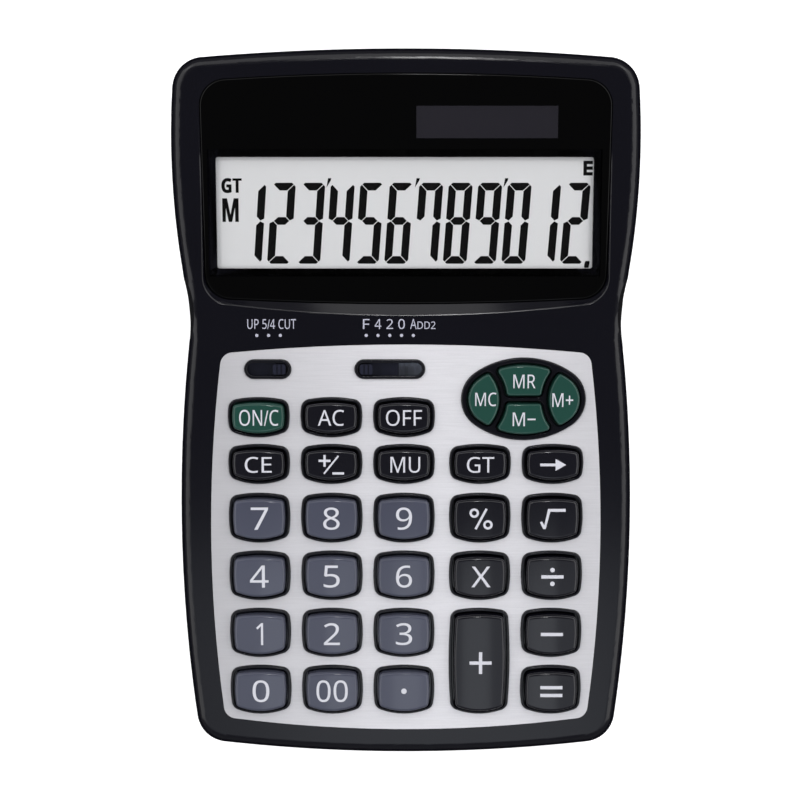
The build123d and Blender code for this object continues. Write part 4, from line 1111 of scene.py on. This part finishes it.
@dataclass
class Fasteners:
    """Screws seen from below, with cross recesses. Sizes in millimetres."""

    arm: float = 0.7
    reach: float = 2.3
    depth: float = 0.7
    draw_in: float = 0.55
    cover_share: float = 0.7
    downward: float = -0.999
    heads_below: float = 20.0

    def build(self) -> None:
        """Recess the screws of the case and of the battery cover."""
        self.recess("case_screws", 1.0)
        self.recess("cover_screw", self.cover_share)
        dress(STEEL, "board_screws", "retainer_screws")

    def recess(self, node: str, share: float) -> None:
        """A copy of a screw node with a cross in each head.

        Args:
            node: the screws.
            share: size of the cross against that of a case screw.
        """
        form = merged_copy(node)
        flat = [face for face in form.faces if face.normal.z < self.downward
                and face.calc_center_median().z < self.heads_below * MM]
        heads = [face for face in bmesh.ops.dissolve_faces(form, faces=flat)["region"] if face.is_valid]
        for head in heads:
            self.sink_cross(form, head, share)
        smooth_faces(form)
        LOG.info("%s: %d heads", node, len(heads))
        even_normals(add_piece(node + "_recessed", form, [STEEL], "case", [node]))

    def sink_cross(self, form: Form, head: bmesh.types.BMFace, share: float) -> None:
        """Sink a tapering cross into a head.

        Args:
            form: the screws.
            head: the end face.
            share: size of the cross.
        """
        middle = head.calc_center_bounds()
        arm = self.arm * share * MM / 2
        reach = self.reach * share * MM / 2
        pieces = [head]
        for normal in (Vector((1.0, 0.0, 0.0)), Vector((0.0, 1.0, 0.0))):
            for distance in (-reach, -arm, arm, reach):
                geometry = list({item for face in pieces for item in (face, *face.edges, *face.verts)})
                cut = bmesh.ops.bisect_plane(form, geom=geometry, dist=NODE_CUT,
                                             plane_co=middle + normal * distance, plane_no=normal)
                pieces = [item for item in cut["geom"] if isinstance(item, bmesh.types.BMFace)]
        sunk = []
        for face in pieces:
            spot = face.calc_center_bounds() - middle
            near, far = sorted((abs(spot.x), abs(spot.y)))
            if near < arm and far < reach:
                sunk.append(face)
        made = bmesh.ops.extrude_face_region(form, geom=sunk)
        verts = [item for item in made["geom"] if isinstance(item, bmesh.types.BMVert)]
        bmesh.ops.translate(form, verts=verts, vec=(0.0, 0.0, self.depth * share * MM))
        space = Matrix.Translation(-middle)
        bmesh.ops.scale(form, vec=(self.draw_in, self.draw_in, 1.0), space=space, verts=verts)
        bmesh.ops.delete(form, geom=[face for face in sunk if face.is_valid], context="FACES_ONLY")


class Inside:
    """The parts that the case hides."""

    def build(self) -> None:
        """Dress every hidden part."""
        dress(RETAINER_BLACK, "panel_retainer")
        dress(RIBBON_AMBER, "panel_ribbon")
        dress(MAT_RUBBER, "key_mat")
        dress(BOARD_PALE, "main_board")
        dress(CHIP_RESIN, "controller_chip")
        dress(STEEL, "button_cell", "positive_contact", "negative_contact", "rounding_wiper", "decimal_wiper")
        dress(LEAD_RED, "battery_leads")
        dress(LEAD_BLACK, "cell_leads")


@dataclass(frozen=True)
class SoftBox:
    """A lamp panel that looks at the object, in metres.

    Its level is its brightness against white. Without diffuse it shows in gloss only.
    """

    name: str
    at: Place
    width: float
    height: float
    level: float
    colour: Colour = WHITE
    diffuse: bool = True

    def light(self) -> None:
        """Set the panel up."""
        lamp = bpy.data.lights.new(self.name, "AREA")
        lamp.shape = "RECTANGLE"
        lamp.size = self.width
        lamp.size_y = self.height
        lamp.energy = self.level * math.pi * self.width * self.height
        lamp.color = self.colour
        panel = new_object(self.name, lamp)
        panel.location = self.at
        panel.rotation_euler = (-Vector(self.at)).to_track_quat("-Z", "Y").to_euler()
        panel.visible_camera = False
        panel.visible_diffuse = self.diffuse


FRONT: Place = (0.0, -0.835, 1.5)
FRONT_ASIDE: Place = (0.065, -0.835, 1.5)
FRONT_HEIGHT = 0.7
LAMPS = (
    SoftBox("left_panel", (-1.3, 0.1, 1.2), width=2.4, height=1.2, level=1.7),
    SoftBox("right_panel", (1.3, 0.1, 1.2), width=2.4, height=1.2, level=2.0),
    SoftBox("back_panel", (0.0, 1.1, 1.3), width=2.4, height=1.0, level=1.45),
    SoftBox("back_lamp", (0.05, 0.55, 1.5), width=0.10, height=0.2, level=36.0, diffuse=False),
    SoftBox("front_core", FRONT_ASIDE, width=0.14, height=FRONT_HEIGHT, level=0.7, colour=COOL),
    SoftBox("front_strip", FRONT_ASIDE, width=0.3, height=FRONT_HEIGHT, level=0.7, colour=COOL),
    SoftBox("front_flank", FRONT_ASIDE, width=0.46, height=FRONT_HEIGHT, level=0.6, colour=COOL),
    SoftBox("front_panel", FRONT, width=2.0, height=FRONT_HEIGHT, level=0.68, colour=COOL),
)


@dataclass
class Studio:
    """Camera, floor, lamps and world. Metres."""

    camera_at: Place = (-0.00157, 0.00213, 0.4385)
    lens_pixels: float = 1551.0
    image_pixels: float = 800.0
    sensor: float = 36.0
    nearest: float = 0.01
    floor_size: float = 6.0
    sky_top: float = 0.12
    sky_rim: float = 0.28
    rim_ends: float = 0.55
    top_starts: float = 0.85

    def build(self) -> None:
        """Set up everything around the object."""
        self.camera()
        self.floor()
        self.sky()
        for lamp in LAMPS:
            lamp.light()
        bpy.context.scene.view_settings.view_transform = "Standard"

    def camera(self) -> None:
        """Look straight down on the calculator."""
        lens = bpy.data.cameras.new("camera")
        lens.sensor_width = self.sensor
        lens.lens = self.lens_pixels / self.image_pixels * self.sensor
        lens.clip_start = self.nearest
        eye = new_object("camera", lens)
        eye.location = self.camera_at
        bpy.context.scene.camera = eye

    def floor(self) -> None:
        """A white table top that keeps the object's shadow and stays dark in its gloss."""
        form = bmesh.new()
        bmesh.ops.create_grid(form, x_segments=1, y_segments=1, size=self.floor_size / 2)
        mesh = bpy.data.meshes.new("floor")
        form.to_mesh(mesh)
        form.free()
        mesh.materials.append(TABLE_WHITE.material())
        table = new_object("floor", mesh)

    def sky(self) -> None:
        """A room that is dark overhead and pale near the horizon, seen as white by the camera."""
        world = bpy.data.worlds.new("room")
        bpy.context.scene.world = world
        world.use_nodes = True
        graph = Graph(world.node_tree)
        direction = graph.node("ShaderNodeTexCoord", {}, {}, "Generated")
        _, _, up = graph.axes(direction)
        rim = shade(WHITE, self.sky_rim)
        top = shade(WHITE, self.sky_top)
        stops = [(0.0, rim), (self.rim_ends, rim), (self.top_starts, top)]
        ramp = graph.node("ShaderNodeValToRGB", {"stops": stops}, {"Fac": up})
        colour = graph.mix(graph.ray("Is Camera Ray"), ramp, shade(WHITE, 1.0))
        light = graph.node("ShaderNodeBackground", {}, {"Color": colour, "Strength": 1.0})
        graph.node("ShaderNodeOutputWorld", {}, {"Surface": light})


def main() -> None:
    """Dress the calculator, add its pieces and set up the studio."""
    logging.basicConfig(level=logging.INFO, format="%(message)s")
    for part in (Case(), DisplayHead(), Keypad(), Fasteners(), Inside()):
        part.build()
    Studio().build()


if __name__ == "__main__":
    main()
